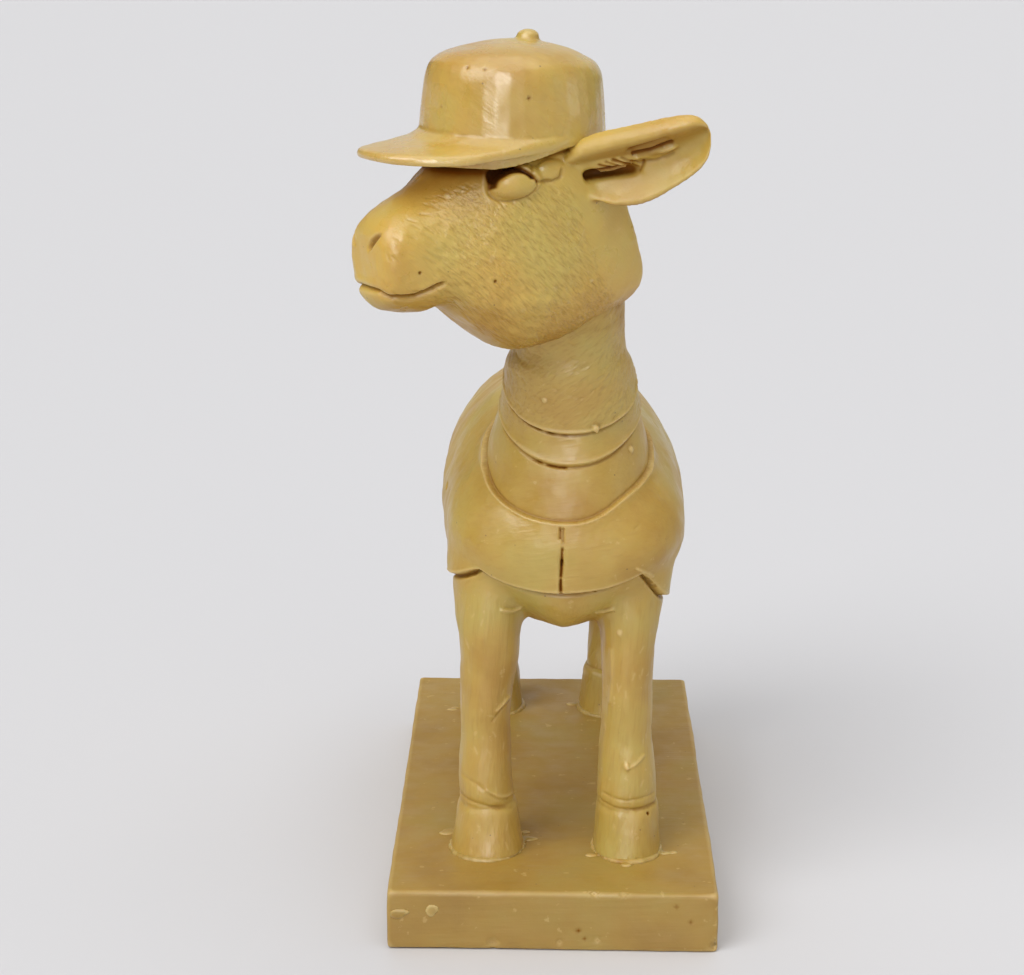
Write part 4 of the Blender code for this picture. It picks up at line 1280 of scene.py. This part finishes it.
def fine_plinth():
    slab = plinth()
    slab.name = "plinth_slab"
    remesh = slab.modifiers.new("remesh", "REMESH")
    remesh.mode = "VOXEL"
    remesh.voxel_size = PLINTH_VOXEL
    apply_modifiers(slab)
    points, _ = skin(slab)
    pit, dark = spots(points, PLINTH_SPOTS)
    push(slab, 0.12 * waver(points, 26.0, 21) + 0.05 * waver(points, 6.0, 22) - pit)
    stain(slab, dark, PLINTH_VOXEL)
    thin(slab)
    points, _ = skin(slab)
    tool(slab, grain(points, (1.0, 0.0, 0.04), 9.0, 0.9), np.full(len(points), 0.3))
    return slab


def wax_crumbs():
    """Smears of wax that stick the hooves down, crumbs beside them and chips on the plinth's front."""
    rng = np.random.default_rng(41)
    forms = [ball("flake", place, radii) for place, radii in FLAKES]
    for name, rows in leg_rows().items():
        (half, depth), _ = HOOVES[name]
        x, y = rows[0][1], rows[0][2] - 0.6
        phase = rng.uniform(0.0, 6.0)
        for angle in np.arange(0.0, 2.0 * math.pi, 0.13):
            size = 0.6 + 0.3 * math.sin(2.0 * angle + phase) + rng.uniform(-0.15, 0.15)
            out = Vector((math.cos(angle), math.sin(angle), 0.0))
            place = (x + half * out.x, y + depth * out.y, PLINTH_HEIGHT)
            turn = Matrix((out.cross(Vector((0.0, 0.0, 1.0))), out, (0.0, 0.0, 1.0))).transposed()
            forms.append(ball("smear", place, (1.6 * size, size, 0.45 + 0.35 * size), turn))
        for _ in range(5):
            angle, reach = rng.uniform(0.0, 2.0 * math.pi), rng.uniform(1.0, 3.0)
            size = rng.uniform(0.5, 1.2)
            place = (x + (half + reach) * math.cos(angle), y + (depth + reach) * math.sin(angle), PLINTH_HEIGHT)
            forms.append(ball("crumb", place, (1.7 * size, size, 0.32)))
    crumbs = fuse("wax_crumbs", forms, BEAD_VOXEL, 3)
    points, _ = skin(crumbs)
    stain(crumbs, -0.1 + 0.25 * waver(points, 5.0, 42), BEAD_VOXEL)
    thin(crumbs)
    points, _ = skin(crumbs)
    tool(crumbs, grain(points, (1.0, 0.0, 0.0), 4.0, 1.0), np.full(len(points), 0.3))
    return crumbs


def add_node(tree, kind, **values):
    """A shader node with its settings (lower-case names) and its inputs' values (the rest)."""
    node = tree.nodes.new("ShaderNode" + kind)
    for name, value in values.items():
        if name.islower():
            setattr(node, name, value)
        else:
            node.inputs[name.replace("_", " ")].default_value = value
    return node


def noise(tree, place, scale, detail):
    """Noise over the points that an output gives."""
    node = add_node(tree, "TexNoise", Scale=scale, Detail=detail)
    tree.links.new(place, node.inputs["Vector"])
    return node.outputs["Fac"]


def scaled(tree, value, low, high, out_low, out_high):
    """A value's range from low to high stretched to another, and kept inside it."""
    node = add_node(tree, "MapRange", From_Min=low, From_Max=high, To_Min=out_low, To_Max=out_high)
    tree.links.new(value, node.inputs["Value"])
    return node.outputs["Result"]


def product(tree, one, other):
    node = add_node(tree, "Math", operation="MULTIPLY")
    tree.links.new(one, node.inputs[0])
    tree.links.new(other, node.inputs[1])
    return node.outputs["Value"]


def layer(tree, share, below, colour):
    """A colour laid over another as far as share says."""
    node = add_node(tree, "Mix", data_type="RGBA", B=colour)
    tree.links.new(share, node.inputs["Factor"])
    tree.links.new(below, node.inputs["A"])
    return node.outputs["Result"]


# Colours made lighter, for pieces painted lighter to stand in for the stronger light they get.
def brighter(colours, share):
    return tuple((red * share, green * share, blue * share, 1.0) for red, green, blue, _ in colours)


def wax(name, colours, roughness, clouds, coat=0.0):
    """Opaque carving wax: mottled, faintly see-through, tool-marked, dark in its cracks and where shade is painted,
    pale where rubbed and where a highlight is painted.
    """
    material = bpy.data.materials.new(name)
    material.use_nodes = True
    tree = material.node_tree
    shader = tree.nodes["Principled BSDF"]
    place = add_node(tree, "TexCoord").outputs["Object"]
    ramp = tree.nodes.new("ShaderNodeValToRGB")
    ramp.color_ramp.elements.new(0.5)
    for element, position, colour in zip(ramp.color_ramp.elements, (0.30, 0.5, 0.70), colours):
        element.position = position
        element.color = colour
    tree.links.new(noise(tree, place, 60.0, 6.0), ramp.inputs["Fac"])
    run = add_node(tree, "Attribute", attribute_name="grain").outputs["Vector"]
    force = add_node(tree, "Attribute", attribute_name="tooled").outputs["Fac"]
    marks = product(tree, noise(tree, run, 1.0, 2.0), force)
    shade = product(tree, scaled(tree, noise(tree, run, 1.0, 2.0), 0.5, 0.7, 0.0, 0.4), force)
    cell = add_node(tree, "TexVoronoi", Scale=420.0)
    tree.links.new(place, cell.inputs["Vector"])
    dot = scaled(tree, cell.outputs["Distance"], 0.05, 0.09, 1.0, 0.0)
    speck = product(tree, dot, scaled(tree, cell.outputs["Color"], 0.66, 0.72, 0.0, 0.7))
    fleck = scaled(tree, noise(tree, place, 450.0, 3.0), 0.67, 0.72, 0.0, 0.3)
    # The pale layer holds rubbed marks and painted highlights. The dark layers hold cracks, pits, tool marks and
    # painted shade, with the deepest painted shade in the hollow colour.
    worn_and_lit = scaled(tree, add_node(tree, "Attribute", attribute_name="wear_and_highlight").outputs["Fac"], 0.0, 1.0, 0.0, 0.8)
    grime_and_shade = add_node(tree, "Attribute", attribute_name="grime_and_shade").outputs["Fac"]
    dirt_and_shade = scaled(tree, grime_and_shade, 0.0, 1.0, 0.0, 0.92)
    deep = scaled(tree, grime_and_shade, 1.0, 1.8, 0.0, 0.9)
    cloud = scaled(tree, noise(tree, place, 22.0, 3.0), 0.5, 0.72, 0.0, clouds)
    colour = layer(tree, cloud, ramp.outputs["Color"], CLOUD_COLOUR)
    colour = layer(tree, shade, colour, STROKE_COLOUR)
    colour = layer(tree, speck, colour, SPECK_COLOUR)
    colour = layer(tree, fleck, colour, WORN_AND_HIGHLIGHT_COLOUR)
    colour = layer(tree, worn_and_lit, colour, WORN_AND_HIGHLIGHT_COLOUR)
    colour = layer(tree, dirt_and_shade, colour, CRACK_AND_SHADE_COLOUR)
    colour = layer(tree, deep, colour, DEEP_SHADE_AND_PIT_COLOUR)
    tree.links.new(colour, shader.inputs["Base Color"])
    shader.inputs["Subsurface Weight"].default_value = 0.2
    shader.inputs["Subsurface Radius"].default_value = (1.0, 0.5, 0.15)
    shader.inputs["Subsurface Scale"].default_value = 0.0012
    tree.links.new(scaled(tree, dirt_and_shade, 0.0, 0.8, 0.6, 0.05), shader.inputs["Specular IOR Level"])
    shader.inputs["Coat Weight"].default_value = coat
    shader.inputs["Coat Roughness"].default_value = roughness
    gloss = scaled(tree, noise(tree, place, 160.0, 4.0), 0.35, 0.65, roughness - 0.08, roughness + 0.14)
    tree.links.new(gloss, shader.inputs["Roughness"])
    cut = add_node(tree, "Bump", Strength=0.8, Distance=0.00028)
    tree.links.new(marks, cut.inputs["Height"])
    fine = add_node(tree, "Bump", Strength=0.3, Distance=0.00015)
    tree.links.new(noise(tree, place, 700.0, 6.0), fine.inputs["Height"])
    tree.links.new(cut.outputs["Normal"], fine.inputs["Normal"])
    tree.links.new(fine.outputs["Normal"], shader.inputs["Normal"])
    return material


def finish(item, material, node=None):
    """Scales a piece to metres, gives it its material and puts it in the figurine in its node's place."""
    item.data.transform(Matrix.Scale(MM, 4))
    item.data.materials.clear()
    item.data.materials.append(material)
    item.data.shade_smooth()
    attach(item, "root")
    if node:
        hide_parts(node)


def plain(name, colour, roughness):
    material = bpy.data.materials.new(name)
    material.use_nodes = True
    shader = material.node_tree.nodes["Principled BSDF"]
    shader.inputs["Base Color"].default_value = colour
    shader.inputs["Roughness"].default_value = roughness
    return material


def studio():
    """A wide pale floor, a pale room, soft lights and the camera."""
    model = bmesh.new()
    bmesh.ops.create_grid(model, x_segments=2, y_segments=2, size=6.0)
    floor = mesh_object("floor", model)
    floor.data.materials.append(plain("floor_grey", FLOOR_COLOUR, 0.6))
    bpy.context.scene.view_settings.view_transform = "Standard"

    world = bpy.data.worlds.new("room")
    bpy.context.scene.world = world
    world.use_nodes = True
    world.node_tree.nodes["Background"].inputs["Color"].default_value = (1.0, 1.0, 1.0, 1.0)
    world.node_tree.nodes["Background"].inputs["Strength"].default_value = ROOM_LIGHT

    for name, azimuth, height, spread, strength in LIGHTS + PANES:
        lamp = bpy.data.lights.new(name, "SUN")
        lamp.angle = math.radians(spread)
        lamp.energy = strength
        around, above = math.radians(azimuth), math.radians(height)
        source = Vector(
            (math.sin(around) * math.cos(above), -math.cos(around) * math.cos(above), math.sin(above))
        )
        item = bpy.data.objects.new(name, lamp)
        item.rotation_euler = (-source).to_track_quat("-Z", "Y").to_euler()
        item.visible_diffuse = (name, azimuth, height, spread, strength) in LIGHTS
        bpy.context.scene.collection.objects.link(item)

    lens = bpy.data.cameras.new("camera")
    lens.lens = CAMERA_LENS
    lens.sensor_width = 36.0
    lens.clip_start = 0.01
    camera = bpy.data.objects.new("camera", lens)
    yaw, pitch, roll = (math.radians(angle) for angle in CAMERA_ANGLES)
    forward = Vector((-math.sin(yaw) * math.cos(pitch), math.cos(yaw) * math.cos(pitch), -math.sin(pitch)))
    right = Vector((math.cos(yaw), math.sin(yaw), 0.0))
    up = right.cross(forward)
    across = right * math.cos(roll) + up * math.sin(roll)
    upward = up * math.cos(roll) - right * math.sin(roll)
    turn = Matrix((across, upward, -forward)).transposed().to_4x4()
    camera.matrix_world = Matrix.Translation(CAMERA_PLACE) @ turn
    bpy.context.scene.collection.objects.link(camera)
    bpy.context.scene.camera = camera


def main():
    figure = wax("figure_wax", WAX_COLOURS, 0.38, 0.3)
    # The head and the cap are painted lighter than the body, standing in for the stronger light that falls on them.
    # The cap's gloss and coat are its own.
    pale = wax("figure_wax_head_painted_lighter", brighter(WAX_COLOURS, 1.27), 0.34, 0.45)
    cap_wax_polished_lit = wax("figure_wax_cap_polished_painted_lighter", brighter(WAX_COLOURS, 1.16), 0.27, 0.45, 0.55)
    dull = wax("figure_wax_smeared", PLINTH_COLOURS[1:] + WAX_COLOURS[:1], 0.42, 0.3)
    slab = wax("plinth_wax", PLINTH_COLOURS, 0.5, 0.15)
    finish(fine_head(), pale, "goat")
    finish(fine_cap(), cap_wax_polished_lit, "goat")
    finish(fine_body(), figure, "goat")
    finish(fine_plinth(), slab, "plinth")
    finish(wax_crumbs(), dull)
    studio()


main()
